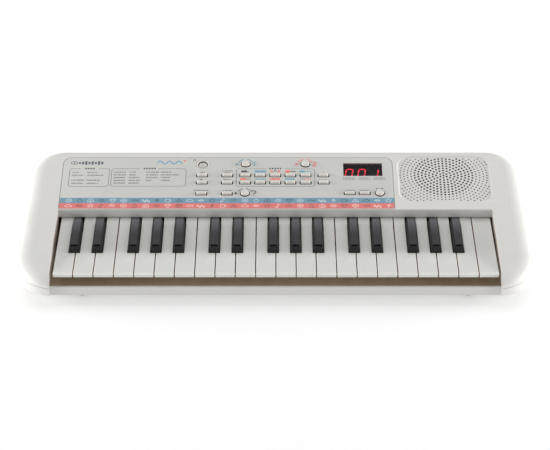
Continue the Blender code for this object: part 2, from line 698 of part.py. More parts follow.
def make_speaker():
    seat = deck_empty("speaker_axis", SPEAKER_X, SPEAKER_T)
    top = -WALL - GAP
    r = SPEAKER_RADIUS
    basket = turned("speaker_basket", (
        (0.0, top - 0.0135), (0.0120, top - 0.0135), (r - 0.0045, top - 0.0030),
        (r - 0.0045, top), (r, top), (r, top - 0.0018), (r - 0.0032, top - 0.0040),
        (0.0190, top - 0.0150), (0.0190, top - 0.0225), (0.0, top - 0.0225)), "steel")
    cone = turned("speaker_cone", (
        (0.0, top - 0.0066), (0.0050, top - 0.0078), (0.0085, top - 0.0100),
        (r - 0.0080, top - 0.0016), (r - 0.0050, top - 0.0020), (r - 0.0050, top - 0.0027),
        (r - 0.0080, top - 0.0030), (0.0090, top - 0.0118), (0.0, top - 0.0118)), "paper")
    for piece in (basket, cone):
        parent_keep(piece, seat)


def make_feet():
    for place, (x, y) in FEET.items():
        bm = cylinder(x, y, 0.0, FOOT_HEIGHT - GAP, FOOT_RADIUS, 20)
        foot = add_object("foot_" + place, bm, PARTS, "rubber", smooth=True)
        bevel(foot, FOOT_EDGE)


clear_scene()
PARTS = new_collection("toy_keyboard")
CUTTERS = new_collection("cutters")
DECK = Matrix.Translation((0, LIP_Y, LIP_Z)) @ Matrix.Rotation(DECK_ANGLE, 4, "X")
ON_REAR = Matrix.Rotation(math.radians(90), 4, "X")
JACK_Z = (DECK @ Vector((0, BOARD[3], -BOARD_DEPTH - 0.0055))).z
DECK_FRAME = add_empty("deck_frame", DECK)

make_top_case()
make_bottom_case()
make_battery_cover()
make_panel(DECK_FRAME)
for button_name, (button_x, button_t) in ROUND_BUTTONS.items():
    make_round_button(button_name, button_x, button_t)
for set_name, set_spots in BUTTON_SETS.items():
    make_button_set(set_name, set_spots)
for key_index in range(WHITE_COUNT):
    make_white_key(key_index)
    if has_black(key_index):
        make_black_key(key_index)
make_key_chassis()
make_contacts()
make_main_board(DECK_FRAME)
make_speaker()
make_feet()
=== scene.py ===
import random
from math import atan2, copysign, cos, hypot, pi, radians, sin, tan, tau

import bmesh
import bpy
from bmesh import ops
from mathutils import Matrix, Vector
from mathutils.bvhtree import BVHTree


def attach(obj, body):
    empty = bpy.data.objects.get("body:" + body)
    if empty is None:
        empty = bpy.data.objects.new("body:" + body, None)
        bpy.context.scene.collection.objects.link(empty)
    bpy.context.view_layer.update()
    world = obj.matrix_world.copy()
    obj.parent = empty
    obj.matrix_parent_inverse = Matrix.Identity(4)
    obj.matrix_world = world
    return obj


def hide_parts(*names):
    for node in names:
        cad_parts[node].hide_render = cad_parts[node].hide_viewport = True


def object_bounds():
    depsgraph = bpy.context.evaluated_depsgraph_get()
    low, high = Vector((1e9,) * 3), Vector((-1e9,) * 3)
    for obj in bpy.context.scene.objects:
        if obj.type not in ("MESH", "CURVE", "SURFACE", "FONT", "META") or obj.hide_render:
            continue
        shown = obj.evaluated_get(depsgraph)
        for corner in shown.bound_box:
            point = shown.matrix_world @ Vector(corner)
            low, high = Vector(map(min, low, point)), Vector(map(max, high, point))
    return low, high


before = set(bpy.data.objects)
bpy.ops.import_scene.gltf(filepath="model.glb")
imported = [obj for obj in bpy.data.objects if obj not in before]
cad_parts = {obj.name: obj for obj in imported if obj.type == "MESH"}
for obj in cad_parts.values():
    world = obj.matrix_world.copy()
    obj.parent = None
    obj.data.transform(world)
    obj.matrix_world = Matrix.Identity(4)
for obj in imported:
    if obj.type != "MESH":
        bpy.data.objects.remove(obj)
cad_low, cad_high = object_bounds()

# ---- casing ----
WIDTH = 0.506
HEIGHT = 0.054
PLAN_REAR, PLAN_FRONT = 0.1004, -0.1014
REAR_CORNER, FRONT_CORNER = 0.036, 0.042
WALL = 0.0025
GAP = 0.0003
FOOT_HEIGHT = 0.004
SPLIT_Z = 0.0190               # parting line between the two casings
LIP_Y, LIP_Z = 0.0088, 0.0400  # front edge of the deck
CROWN_Y = 0.0920
SIDE_REACH, SIDE_DROP_FRONT, SIDE_DROP_REAR = 0.015, 0.0085, 0.0130
REAR_REACH, REAR_DROP = 0.0085, 0.0028
FRONT_REACH, FRONT_DROP = 0.018, 0.0100
CHEEK_Z, CHEEK_Y, CHEEK_SLOPE = 0.0366, -0.0500, 0.02
NOSE_Z, NOSE_Y, NOSE_SLOPE = 0.0315, -0.0840, 0.10
DECK_BLEND, NOSE_BLEND, SIDE_BLEND = (-0.0220, 0.0300), (-0.0860, 0.0400), (-0.0100, 0.0700)
SIDE_SKIRT = ((0.0078, FOOT_HEIGHT), (0.0062, 0.0043), (0.0046, 0.0050), (0.0032, 0.0061),
              (0.0018, 0.0074), (0.0008, 0.0085), (0.0003, 0.0095), (0.0, 0.0110))
FRONT_SKIRT = ((0.0166, FOOT_HEIGHT), (0.0128, 0.0052), (0.0090, 0.0068), (0.0052, 0.0086),
               (0.0032, 0.0093), (0.0016, 0.0098), (0.0006, 0.0105), (0.0, 0.0118))
SEAM = 0.00035                 # chamfer each side of the parting line
OPENING_EDGE = 0.0008          # rounding of the key opening's edges
CUT_FAR, CUT_HIGH = 0.13, 0.08
DECK_ANGLE = atan2(HEIGHT - LIP_Z, CROWN_Y - LIP_Y)
DECK = Matrix.Translation((0, LIP_Y, LIP_Z)) @ Matrix.Rotation(DECK_ANGLE, 4, "X")

# ---- keys ----
BED_HALF, BED_SHIFT = 0.2190, 0.0006
RAIL_Y, RAIL_Z = -0.0961, 0.0179   # front and top of the rail below the keys
KEY_PITCH, KEY_GAP = 0.0197, 0.0010
KEY_TOP, KEY_FRONT, KEY_LIP, KEY_TAIL = 0.0300, -0.0904, 0.0044, 0.0340
KEY_BASE, KEY_PLATE, KEY_ROUND, KEY_STEP = KEY_TOP - KEY_LIP, 0.0019, 0.00055, 0.00012
KEY_SCRIBE = 0.0036            # from the front to a fine line across each white key
WHITE_COUNT = 22
BLACK_FRONT, BLACK_REAR, BLACK_TOP = -0.0541, -0.0012, 0.0372
BLACK_BASE, BLACK_CREST, BLACK_NOTCH, BLACK_RAKE = 0.0106, 0.0076, 0.0003, 0.0022
BLACK_TAIL = 0.0038
BLACK_SLOT = (0.0032, -0.0522, -0.0503, 0.0009)  # half width, front, rear and depth
PLUNGER_Y, PLUNGER_BOTTOM, PLUNGER_SIDE = -0.0350, 0.0196, 0.0046
BLACK_SHIFTS = {"c": -0.0015, "d": 0.0015, "f": -0.0026, "g": 0.0, "a": 0.0026}
LETTERS = "cdefgab"

# ---- deck ----
PANEL = (-0.2186, 0.0010, 0.1206, 0.0804)
PANEL_CORNERS = (0.002, 0.009)
PANEL_NOTCH = (-0.0884, 0.0009)                 # x and size of the notch in its upper edge
POCKET_DEPTH = 0.0015
HOLE_DEPTH = 0.0060
WINDOW = (0.0700, 0.0515, 0.1101, 0.0714)
GRILLE = (0.1272, 0.0138, 0.2196, 0.0808)
GRILLE_DEPTH, GRILLE_CORNER, GRILLE_RIM = 0.0010, 0.0125, 0.0020
GRILLE_PLATE = 0.00045
SPEAKER_X, SPEAKER_T = 0.1728, 0.0535
RING_STEP, OPEN_RINGS, ALL_RINGS = 0.00372, 9, 18
HOLE_RADIUS, DIMPLE_RADIUS = 0.00116, 0.00086
BUTTON_RISE, BUTTON_FLANGE, FLANGE_REACH = 0.0018, 0.0010, 0.0012
ROUND_RADIUS, ROUND_HOLE = 0.0042, 0.0051
BAR_SIZE, BAR_HOLE = (0.0098, 0.0039), (0.0122, 0.0050)
POWER_TOP, POWER_RADIUS, POWER_DISH = -0.0012, 0.0043, 0.0070
CAP_SHIFT = 0.00035            # how far up the slope the bar caps sit in their holes
ROUND_BUTTONS = {
    "power_button": (-0.0746, 0.0695),
    "voice_one_button": (-0.0305, 0.0698),
    "voice_two_button": (0.0311, 0.0698),
    "quiz_button": (-0.0309, 0.0245),
    "start_button": (0.1063, 0.0248),
}
ROW_1, ROW_2, ROW_3 = 0.0520, 0.0408, 0.0240
LEFT_COLUMNS = (-0.0752, -0.0493)
VOICE_COLUMNS = (-0.0308, -0.0154, 0.0, 0.0155, 0.0310, 0.0495)
MODE_COLUMNS = (0.0757, 0.0909)
BUTTON_SETS = {
    "left_button_set": [(x, t) for x in LEFT_COLUMNS for t in (ROW_1, ROW_2, ROW_3)],
    "voice_button_set": [(x, t) for x in VOICE_COLUMNS for t in (ROW_1, ROW_2)],
    "mode_button_set": [(x, ROW_3 + 0.0006) for x in MODE_COLUMNS],
}
BOARD_DEPTH = 0.0055
DIGIT_DEPTH = 0.0049

# ---- underside and rear ----
BAY = (-0.1500, 0.0480, -0.0380, 0.0860)
BAY_ROOF = 0.0220
COVER_PLAY, COVER_THICK = 0.0004, 0.0020
RIB_Y, RIB_HALF, RIB_WIDTH = (-0.058, -0.010), 0.200, 0.002
CONTACT_Z = 0.0095
FEET = {"front_left": (-0.1890, -0.0795), "front_right": (0.1890, -0.0795),
        "rear_left": (-0.1910, 0.0760), "rear_right": (0.1910, 0.0760)}
FOOT_RADIUS = 0.0055
SCREWS = [(x, y) for x in (-0.2180, -0.0130, 0.0640, 0.2180) for y in (-0.0480, 0.0560)]
SCREW_WELL, WELL_TOP = 0.0038, 0.0080
JACKS = {"headphone_socket": 0.0320, "power_socket": 0.0560}
JACK_RADIUS, JACK_DROP = 0.0036, 0.0053    # the drop is from the board to the jacks' axes
BOARD_REAR = 0.0780

random.seed(11)


# ---- finishes ----
def connect(tree, target, inputs):
    """Give a node's sockets their numbers and colours, or the outputs that feed them."""
    for name, value in inputs.items():
        if isinstance(value, bpy.types.NodeSocket):
            tree.links.new(value, target.inputs[name])
        else:
            colour = isinstance(value, tuple)
            target.inputs[name].default_value = (*value, 1.0) if colour else value
    return target


def node(tree, kind, inputs):
    return connect(tree, tree.nodes.new("ShaderNode" + kind), inputs)


def shader_of(mat):
    return mat.node_tree.nodes["Principled BSDF"]


def object_place(tree):
    return node(tree, "TexCoord", {}).outputs["Object"]


def noise(tree, place, scale, detail=2.0):
    return node(tree, "TexNoise", {"Scale": scale, "Detail": detail, "Vector": place}).outputs["Fac"]


def remap(tree, value, from_low, from_high, low=0.0, high=1.0):
    return node(tree, "MapRange", {"From Min": from_low, "From Max": from_high, "To Min": low,
                                   "To Max": high, "Value": value}).outputs["Result"]


def mix_colours(tree, factor, first, second):
    """first and second are colours or sockets."""
    mix = node(tree, "Mix", {})
    mix.data_type = "RGBA"
    return connect(tree, mix, {0: factor, 6: first, 7: second}).outputs[2]


def scaled(colour, factor):
    return tuple(min(c * factor, 1.0) for c in colour)


def srgb(*values):
    """A linear colour from 0-255 display values."""
    return tuple((v / 255 / 12.92) if v < 10.3 else ((v / 255 + 0.055) / 1.055) ** 2.4
                 for v in values)


def finish(name, colour, rough, mottle=0.03, rough_spread=0.06, grain=1800.0, depth=0.000004,
           edge_wear_and_highlight=0.06, metallic=0.0, specular=0.5):
    """A moulded or printed finish: slow colour mottling, patchy gloss, fine grain, and edges made
    paler: a little rubbing on most finishes, and a painted highlight where the setting is high, as on
    the white keys."""
    mat = bpy.data.materials.new(name)
    mat.use_nodes = True
    tree = mat.node_tree
    place = object_place(tree)
    cloud = remap(tree, noise(tree, place, 38.0, 4.0), 0.3, 0.7)
    base = mix_colours(tree, cloud, scaled(colour, 1 - mottle), scaled(colour, 1 + mottle))
    edge = remap(tree, node(tree, "NewGeometry", {}).outputs["Pointiness"], 0.52, 0.60)
    patches = remap(tree, noise(tree, place, 260.0, 3.0), 0.3, 0.7,
                    max(rough - rough_spread, 0.02), rough + rough_spread)
    bump = node(tree, "Bump", {"Distance": depth, "Strength": 1.0,
                               "Height": noise(tree, place, grain)})
    connect(tree, shader_of(mat), {
        "Metallic": metallic, "Specular IOR Level": specular, "Roughness": patches,
        "Base Color": mix_colours(tree, edge, base, scaled(colour, 1 + edge_wear_and_highlight)),
        "Normal": bump.outputs["Normal"]})
    return mat


def tint(mat, factor, colour):
    """Lay another colour over a finish's own."""
    tree = mat.node_tree
    under = shader_of(mat).inputs["Base Color"].links[0].from_socket
    connect(tree, shader_of(mat), {"Base Color": mix_colours(tree, factor, under, colour)})
    return mat


def board_finish():
    """Green solder mask with paler runs of track in it."""
    mat = finish("solder_mask", (0.012, 0.10, 0.045), 0.35, mottle=0.10, grain=900.0)
    tree = mat.node_tree
    tracks = node(tree, "TexBrick", {"Scale": 90.0, "Mortar Size": 0.06, "Brick Width": 0.9,
                                     "Row Height": 0.22, "Vector": object_place(tree)})
    return tint(mat, tracks.outputs["Fac"], (0.03, 0.22, 0.10))


def cone_finish():
    """Pulp paper: flecked, fibrous and fully matt."""
    return finish("cone_paper", srgb(58, 42, 34), 0.9, mottle=0.35, rough_spread=0.05,
                  grain=1100.0, depth=0.00012, edge_wear_and_highlight=0.2, specular=0.2)


def black_key_finish():
    """Satin black, with a painted sheen that greys the crest towards the rear, left black over its
    last few millimetres as painted shadow under the lip.
    """
    mat = finish("black_key_satin", (0.014, 0.014, 0.016), 0.38, mottle=0.08, rough_spread=0.04,
                 depth=0.000002, edge_wear_and_highlight=0.1, specular=0.35)
    tree = mat.node_tree
    along = node(tree, "SeparateXYZ", {0: object_place(tree)}).outputs["Y"]
    # painted sheen: a paler grey that rises towards the rear of the keys
    painted_sheen = remap(tree, along, BLACK_REAR - 0.034, BLACK_REAR - 0.004)
    painted_sheen.node.interpolation_type = "SMOOTHSTEP"
    # painted shadow: the sheen stops short of the keys' rear end, which lies in shade under the lip
    tail = remap(tree, along, BLACK_REAR - 0.0034, BLACK_REAR - 0.0024, 1.0, 0.0)
    painted_sheen_and_shadow = node(tree, "Math", {0: painted_sheen, 1: tail})
    painted_sheen_and_shadow.operation = "MULTIPLY"
    return tint(mat, painted_sheen_and_shadow.outputs["Value"], (0.085, 0.085, 0.095))


def lens_finish():
    """Smoked clear plastic, a little scuffed."""
    mat = finish("smoked_lens", (0.006, 0.006, 0.007), 0.10, mottle=0.2, rough_spread=0.01,
                 grain=500.0, depth=0.0000005, edge_wear_and_highlight=0.3, specular=0.10)
    shader_of(mat).inputs["Alpha"].default_value = 0.42
    return mat


def segment_finish():
    """Lit segments with a slightly uneven glow."""
    mat = finish("lit_segment", (0.6, 0.01, 0.02), 0.4, mottle=0.15, grain=700.0)
    tree = mat.node_tree
    cloud = remap(tree, noise(tree, object_place(tree), 300.0), 0.3, 0.7)
    glow = mix_colours(tree, cloud, (0.95, 0.02, 0.05), (1.0, 0.05, 0.09))
    connect(tree, shader_of(mat), {"Emission Color": glow, "Emission Strength": 2.6})
    return mat


# ---- mesh helpers ----
def add_object(name, bm):
    ops.recalc_face_normals(bm, faces=bm.faces)
    mesh = bpy.data.meshes.new(name)
    bm.to_mesh(mesh)
    bm.free()
    obj = bpy.data.objects.new(name, mesh)
    bpy.context.scene.collection.objects.link(obj)
    return obj


def shape_of(mesh):
    bm = bmesh.new()
    bm.from_mesh(mesh)
    return bm


def evaluated(obj):
    """A new mesh of an object, with its modifiers applied."""
    bpy.context.view_layer.update()
    graph = bpy.context.evaluated_depsgraph_get()
    return bpy.data.meshes.new_from_object(obj.evaluated_get(graph))


def carve(obj, bm, operation="DIFFERENCE"):
    """Cut, or join, a shape and drop the tool."""
    tool = add_object("tool", bm)
    mod = obj.modifiers.new("carve", "BOOLEAN")
    mod.operation = operation
    mod.object = tool
    mod.solver = "EXACT"
    mesh = evaluated(obj)
    obj.modifiers.clear()
    obj.data = mesh
    bpy.data.objects.remove(tool, do_unlink=True)


def soften(bm, edges, width, segments, profile=0.5):
    ops.bevel(bm, geom=edges, offset=width, segments=segments, profile=profile, affect="EDGES",
              clamp_overlap=True)


def round_edges(obj, width, segments, chosen, angle):
    """Round the edges sharper than an angle whose middle passes `chosen`."""
    bm = shape_of(obj.data)
    ops.remove_doubles(bm, verts=bm.verts, dist=0.00001)
    ops.dissolve_degenerate(bm, edges=bm.edges, dist=0.00001)
    soften(bm, [e for e in bm.edges if len(e.link_faces) == 2
                and e.calc_face_angle(0.0) > radians(angle)
                and chosen((e.verts[0].co + e.verts[1].co) / 2)], width, segments)
    ops.recalc_face_normals(bm, faces=bm.faces)
    bm.to_mesh(obj.data)
    bm.free()


def extrude(bm, faces, rise):
    """Draw flat faces out along z."""
    made = ops.extrude_face_region(bm, geom=faces)["geom"]
    verts = [v for v in made if isinstance(v, bmesh.types.BMVert)]
    ops.translate(bm, verts=verts, vec=(0, 0, rise))


def piece(obj, body, mat, replaces=(), smooth=32, weighted=False):
    """Finish a piece: material, shading, and what it rides on and stands for."""
    obj.data.materials.clear()
    obj.data.materials.append(mat)
    obj.data.shade_smooth()
    obj.data.set_sharp_from_angle(angle=radians(smooth))
    if weighted:
        mod = obj.modifiers.new("normals", "WEIGHTED_NORMAL")
        mod.keep_sharp = True
    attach(obj, body)
    if replaces:
        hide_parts(*replaces)
    return obj


def second_finish(obj, mat, chosen):
    """Give the faces whose normal and middle pass `chosen` another finish."""
    obj.data.materials.append(mat)
    for face in obj.data.polygons:
        if chosen(face.normal, face.center):
            face.material_index = 1


def flatten(mesh, up):
    """Give the faces that look along `up` that plain normal, so they shade evenly."""
    normals = [corner.vector.copy() for corner in mesh.corner_normals]
    for face in mesh.polygons:
        if face.normal.dot(up) > 0.99999:
            for i in face.loop_indices:
                normals[i] = up
    mesh.normals_split_custom_set(normals)


def around(x, y, half_x, half_y):
    """The area centred on a point."""
    return x - half_x, y - half_y, x + half_x, y + half_y


def box(area, low, high, bm=None):
    """A block over an area, between two heights."""
    bm = bm or bmesh.new()
    x0, y0, x1, y1 = area
    middle = Matrix.Translation(((x0 + x1) / 2, (y0 + y1) / 2, (low + high) / 2))
    size = Matrix.Diagonal((x1 - x0, y1 - y0, high - low, 1.0))
    ops.create_cube(bm, size=1.0, matrix=middle @ size)
    return bm


def skin(bm, hoops):
    """Faces between neighbouring closed rings of vertices."""
    for low, high in zip(hoops, hoops[1:]):
        for i in range(len(low)):
            j = (i + 1) % len(low)
            bm.faces.new((low[i], low[j], high[j], high[i]))


def loft(rings, bm=None, cap_strips=False):
    """Skin closed rings of equal count, with flat caps. With cap_strips the last ring is closed
    by strips from its right half to its left half."""
    bm = bm or bmesh.new()
    hoops = [[bm.verts.new(p) for p in ring] for ring in rings]
    skin(bm, hoops)
    bm.faces.new(list(reversed(hoops[0])))
    last, count = hoops[-1], len(rings[0])
    if cap_strips:
        for i in range(count // 2 - 1):
            bm.faces.new((last[i], last[i + 1], last[count - 2 - i], last[count - 1 - i]))
    else:
        bm.faces.new(last)
    return bm


def arc(cx, cy, radius, start, end, count=10, flat=1.0):
    turns = [radians(start + (end - start) * i / count) for i in range(count + 1)]
    return [(cx + radius * cos(turn), cy + radius * flat * sin(turn)) for turn in turns]


def circle(x, y, radius, count=24):
    turns = [tau * i / count for i in range(count)]
    return [(x + radius * cos(turn), y + radius * sin(turn)) for turn in turns]


def turned(profile, x=0.0, y=0.0, segments=40, bm=None):
    """A solid of revolution from (radius, height) points, first and last closed by flat caps."""
    return loft([[(*p, height) for p in circle(x, y, radius, segments)]
                 for radius, height in profile], bm)


def turned_ring(profile, x=0.0, y=0.0, segments=48):
    """A closed ring of revolution: the profile's last point joins its first."""
    bm = bmesh.new()
    hoops = [[bm.verts.new((*p, height)) for p in circle(x, y, radius, segments)]
             for radius, height in profile]
    skin(bm, hoops + hoops[:1])
    return bm


def rounded(area, radii, grow=0.0, segments=8):
    """Points round a rounded rectangle, counter-clockwise from its lower right corner. radii is
    one radius, or those of the lower and the upper corners."""
    x0, y0, x1, y1 = area
    low, high = radii if isinstance(radii, tuple) else (radii, radii)
    points = []
    for x, y, radius, start in ((x1, y0, low, -90), (x1, y1, high, 0), (x0, y1, high, 90),
                                (x0, y0, low, 180)):
        cx = x - copysign(radius, x - (x0 + x1) / 2)
        cy = y - copysign(radius, y - (y0 + y1) / 2)
        points += arc(cx, cy, radius + grow, start, start + 90, segments)
    return points


def stepped(area, radii, profile, segments=8, bm=None):
    """A cutter or plug over a rounded area that grows and shrinks with height: profile holds
    the (grow, height) steps from the bottom up."""
    return loft([[(*p, height) for p in rounded(area, radii, grow, segments)]
                 for grow, height in profile], bm)


def on_deck(bm):
    ops.transform(bm, matrix=DECK, verts=bm.verts)
    return bm


def deck_piece(name, bm, body, mat, replaces=(), smooth=32):
    return piece(add_object(name, on_deck(bm)), body, mat, replaces, smooth)


def in_rear_wall(bm):
    """Stand a shape in the rear wall, its z pointing out."""
    height = (DECK @ Vector((0, BOARD_REAR, -BOARD_DEPTH - JACK_DROP))).z
    turn = Matrix.Rotation(-pi / 2, 4, "X")
    ops.transform(bm, matrix=Matrix.Translation((0, PLAN_REAR, height)) @ turn, verts=bm.verts)
    return bm


def quarter(radius, steps=4):
    """Offsets (out, up) along a quarter circle, from upright to level."""
    return [(radius * (1 - cos(pi / 2 * i / steps)),
             radius * sin(pi / 2 * i / steps)) for i in range(steps + 1)]


def plate(name, outlines, low, high, edge):
    """A flat plate in deck coordinates with openings: the first outline is its rim."""
    curve = bpy.data.curves.new(name, "CURVE")
    curve.dimensions = "2D"
    curve.fill_mode = "BOTH"
    curve.extrude = (high - low) / 2 - edge
    curve.bevel_depth = edge
    curve.bevel_resolution = 2
    curve.offset = -edge
    for points in outlines:
        spline = curve.splines.new("POLY")
        spline.points.add(len(points) - 1)
        for target, point in zip(spline.points, points):
            target.co = (*point, 0.0, 1.0)
        spline.use_cyclic_u = True
    holder = bpy.data.objects.new(name + "_curve", curve)
    bpy.context.scene.collection.objects.link(holder)
    bm = shape_of(evaluated(holder))
    ops.remove_doubles(bm, verts=bm.verts, dist=0.000002)
    ops.translate(bm, verts=bm.verts, vec=(0, 0, (high + low) / 2))
    bpy.data.objects.remove(holder, do_unlink=True)
    return add_object(name, on_deck(bm))


# ---- casing surface ----
def smooth_step(value):
    value = min(max(value, 0.0), 1.0)
    return value * value * (3 - 2 * value)


def blend(y, span):
    start, length = span
    return smooth_step((y - start) / length)


def deck_height(y):
    """Height of the upper surface: a sloping deck, end blocks that level out, then a nose."""
    deck = min(LIP_Z + (y - LIP_Y) * tan(DECK_ANGLE), HEIGHT)
    level = CHEEK_Z + (y - CHEEK_Y) * CHEEK_SLOPE
    nose = NOSE_Z + (y - NOSE_Y) * NOSE_SLOPE
    risen = level + (deck - level) * blend(y, DECK_BLEND)
    return nose + (risen - nose) * blend(y, NOSE_BLEND)


def case_outline(steps=18):
    """Stations round the plan: corner centre, outward normal and corner radius."""
    right = []
    sides = [LIP_Y + (PLAN_FRONT + FRONT_CORNER - LIP_Y) * (1 - i / 26) for i in range(1, 27)]
    sides += [LIP_Y + (PLAN_REAR - REAR_CORNER - LIP_Y) * i / 22 for i in range(1, 22)]
    corners = ((PLAN_FRONT + FRONT_CORNER, FRONT_CORNER, -90),
               (PLAN_REAR - REAR_CORNER, REAR_CORNER, 0))
    for y, radius, start in corners:
        for i in range(steps + 1):
            angle = radians(start + 90 * i / steps)
            right.append((WIDTH / 2 - radius, y, cos(angle), sin(angle), radius))
        if start < 0:
            for side in sides:
                right.append((WIDTH / 2 - radius, side, 1.0, 0.0, radius))
    return right + [(-x, y, -nx, ny, radius) for x, y, nx, ny, radius in reversed(right)]


def roll(nx, ny, y, thin):
    """Reach and drop of the rolled edge for an outward direction at a place along the side."""
    end_reach, end_drop = (FRONT_REACH, FRONT_DROP) if ny < 0 else (REAR_REACH, REAR_DROP)
    side_drop = SIDE_DROP_FRONT + (SIDE_DROP_REAR - SIDE_DROP_FRONT) * blend(y, SIDE_BLEND)
    reach = SIDE_REACH * nx * nx + end_reach * ny * ny
    drop = side_drop * nx * nx + end_drop * ny * ny
    return reach - thin, drop - thin


def upper_form(thin, bottom, seam=0.0, steps=9):
    """The upper casing's form, thinner by `thin` on every side, standing on z = bottom."""
    rings = [[] for _ in range(steps + 3)]
    for x, y, nx, ny, radius in case_outline():
        px, py = x + nx * (radius - thin), y + ny * (radius - thin)
        reach, drop = roll(nx, ny, py, thin)
        top = deck_height(py) - thin
        rings[0].append((px - nx * seam, py - ny * seam, bottom))
        rings[1].append((px, py, bottom + max(seam, 0.0001)))
        rings[2].append((px, py, top - drop))
        for k in range(1, steps + 1):
            angle = radians(90 * k / steps)
            inset = reach * (1 - cos(angle))
            qx, qy = px - nx * inset, py - ny * inset
            height = min(deck_height(qy) - drop * (1 - sin(angle)), cad_high.z) - thin
            rings[2 + k].append((qx, qy, height))
    return loft(rings, cap_strips=True)


def lower_form(thin, top, seam=0.0):
    """The lower casing's tray: a rounded skirt, then an upright side."""
    rim = ((0.0, top - thin - seam), (seam, top - thin))
    rings = []
    for side, front in zip(SIDE_SKIRT + rim, FRONT_SKIRT + rim):
        ring = []
        for x, y, nx, ny, radius in case_outline():
            share = max(-ny, 0.0) ** 5
            inset = side[0] + (front[0] - side[0]) * share
            height = side[1] + (front[1] - side[1]) * share
            reach = radius - thin - inset
            ring.append((x + nx * reach, y + ny * reach, height + thin))
        rings.append(ring)
    return loft(rings)


# ---- casings ----
def bar_spots():
    return [spot for spots in BUTTON_SETS.values() for spot in spots]


def over_keys(margin, rear):
    return -BED_HALF - margin, -CUT_FAR, BED_HALF + margin, rear


def hollow_out(case, form, kept):
    """Cut a form out of a casing, all but what lies in the area `kept`."""
    cavity = add_object("cavity", form)
    carve(cavity, box(kept, 0.0, CUT_HIGH))
    hollow = shape_of(cavity.data)
    bpy.data.objects.remove(cavity, do_unlink=True)
    carve(case, hollow)


def key_opening(case):
    """The opening over the keys, flared at the top so that its edges come out rounded."""
    sampled = shape_of(case.data)
    surface = BVHTree.FromBMesh(sampled)
    sampled.free()
    corner, count = 0.0010, 60
    path = [(BED_HALF, -CUT_FAR + (LIP_Y - corner + CUT_FAR) * i / count, 1.0, 0.0)
            for i in range(count + 1)]
    for nx, ny in arc(0.0, 0.0, 1.0, 0, 90, 5)[1:]:
        path.append((BED_HALF - corner + corner * nx, LIP_Y - corner + corner * ny, nx, ny))
    path += [(-x, y, -nx, ny) for x, y, nx, ny in reversed(path)]
    heights = []
    for x, y, nx, ny in path:
        hit = surface.ray_cast(Vector((x + nx * GAP, y + ny * GAP, 1.0)), Vector((0, 0, -1)))
        heights.append(hit[0].z if hit[0] else SPLIT_Z)
    radius = OPENING_EDGE
    rings = [[(x, y, 0.0) for x, y, _, _ in path]]
    profile = [(out, up - radius + 0.00003) for out, up in quarter(radius, 5)]
    for out, up in profile + [(radius + 0.00002, 0.002)]:
        rings.append([(x + nx * out, y + ny * out, height + up)
                      for (x, y, nx, ny), height in zip(path, heights)])
    rings.append([(x + nx * radius, y + ny * radius, CUT_HIGH) for x, y, nx, ny in path])
    return loft(rings)


def drill(x, y, radius, low, high, bm, segments=32):
    return turned([(radius, low), (radius, high)], x, y, segments, bm)


def make_top_case(mat, inner_shade_mat):
    case = add_object("top_case_shell", upper_form(0.0, SPLIT_Z, SEAM))
    hollow_out(case, upper_form(WALL, SPLIT_Z - WALL), over_keys(WALL, LIP_Y + WALL))
    carve(case, key_opening(case))
    carve(case, box(over_keys(0.0, LIP_Y + 2 * WALL), 0.0, KEY_TOP + 0.0010))
    edge = 0.0004
    pocket = [(GAP + out, up - edge + 0.00002) for out, up in quarter(edge)]
    carve(case, on_deck(stepped(PANEL, PANEL_CORNERS, [
        (GAP, -POCKET_DEPTH), *pocket, (GAP + edge, HOLE_DEPTH)])))
    dish = [(0.0008, -HOLE_DEPTH), (0.0008, -GRILLE_DEPTH - 0.00002), (0.0, -GRILLE_DEPTH - 0.00001)]
    dish += [(GRILLE_RIM * i / 8, -GRILLE_DEPTH + GRILLE_DEPTH * smooth_step(i / 8))
             for i in range(9)]
    carve(case, on_deck(stepped(GRILLE, GRILLE_CORNER, dish + [(GRILLE_RIM, HOLE_DEPTH)])))
    openings = bmesh.new()
    for x, t in ROUND_BUTTONS.values():
        drill(x, t, ROUND_HOLE + GAP, -HOLE_DEPTH, HOLE_DEPTH, openings)
    for x, t in bar_spots():
        hole = around(x, t, BAR_HOLE[0] / 2 + GAP, BAR_HOLE[1] / 2 + GAP)
        box(hole, -HOLE_DEPTH, HOLE_DEPTH, openings)
    carve(case, on_deck(box(WINDOW, -HOLE_DEPTH, HOLE_DEPTH, openings)))
    sockets = bmesh.new()
    for x in JACKS.values():
        drill(x, 0.0, JACK_RADIUS, -HOLE_DEPTH, HOLE_DEPTH, sockets)
    carve(case, in_rear_wall(sockets))
    piece(case, "case", mat, ["top_case"], 30, weighted=True)
    flatten(case.data, DECK.to_3x3() @ Vector((0.0, 0.0, 1.0)))
    # The cheeks' inner walls beside the keys take a warm tint painted in as the brown shade in the
    # gap next to the end keys.
    second_finish(case, inner_shade_mat, lambda normal, at: abs(normal.x) > 0.98
                  and abs(abs(at.x) - BED_HALF) < 0.0001)


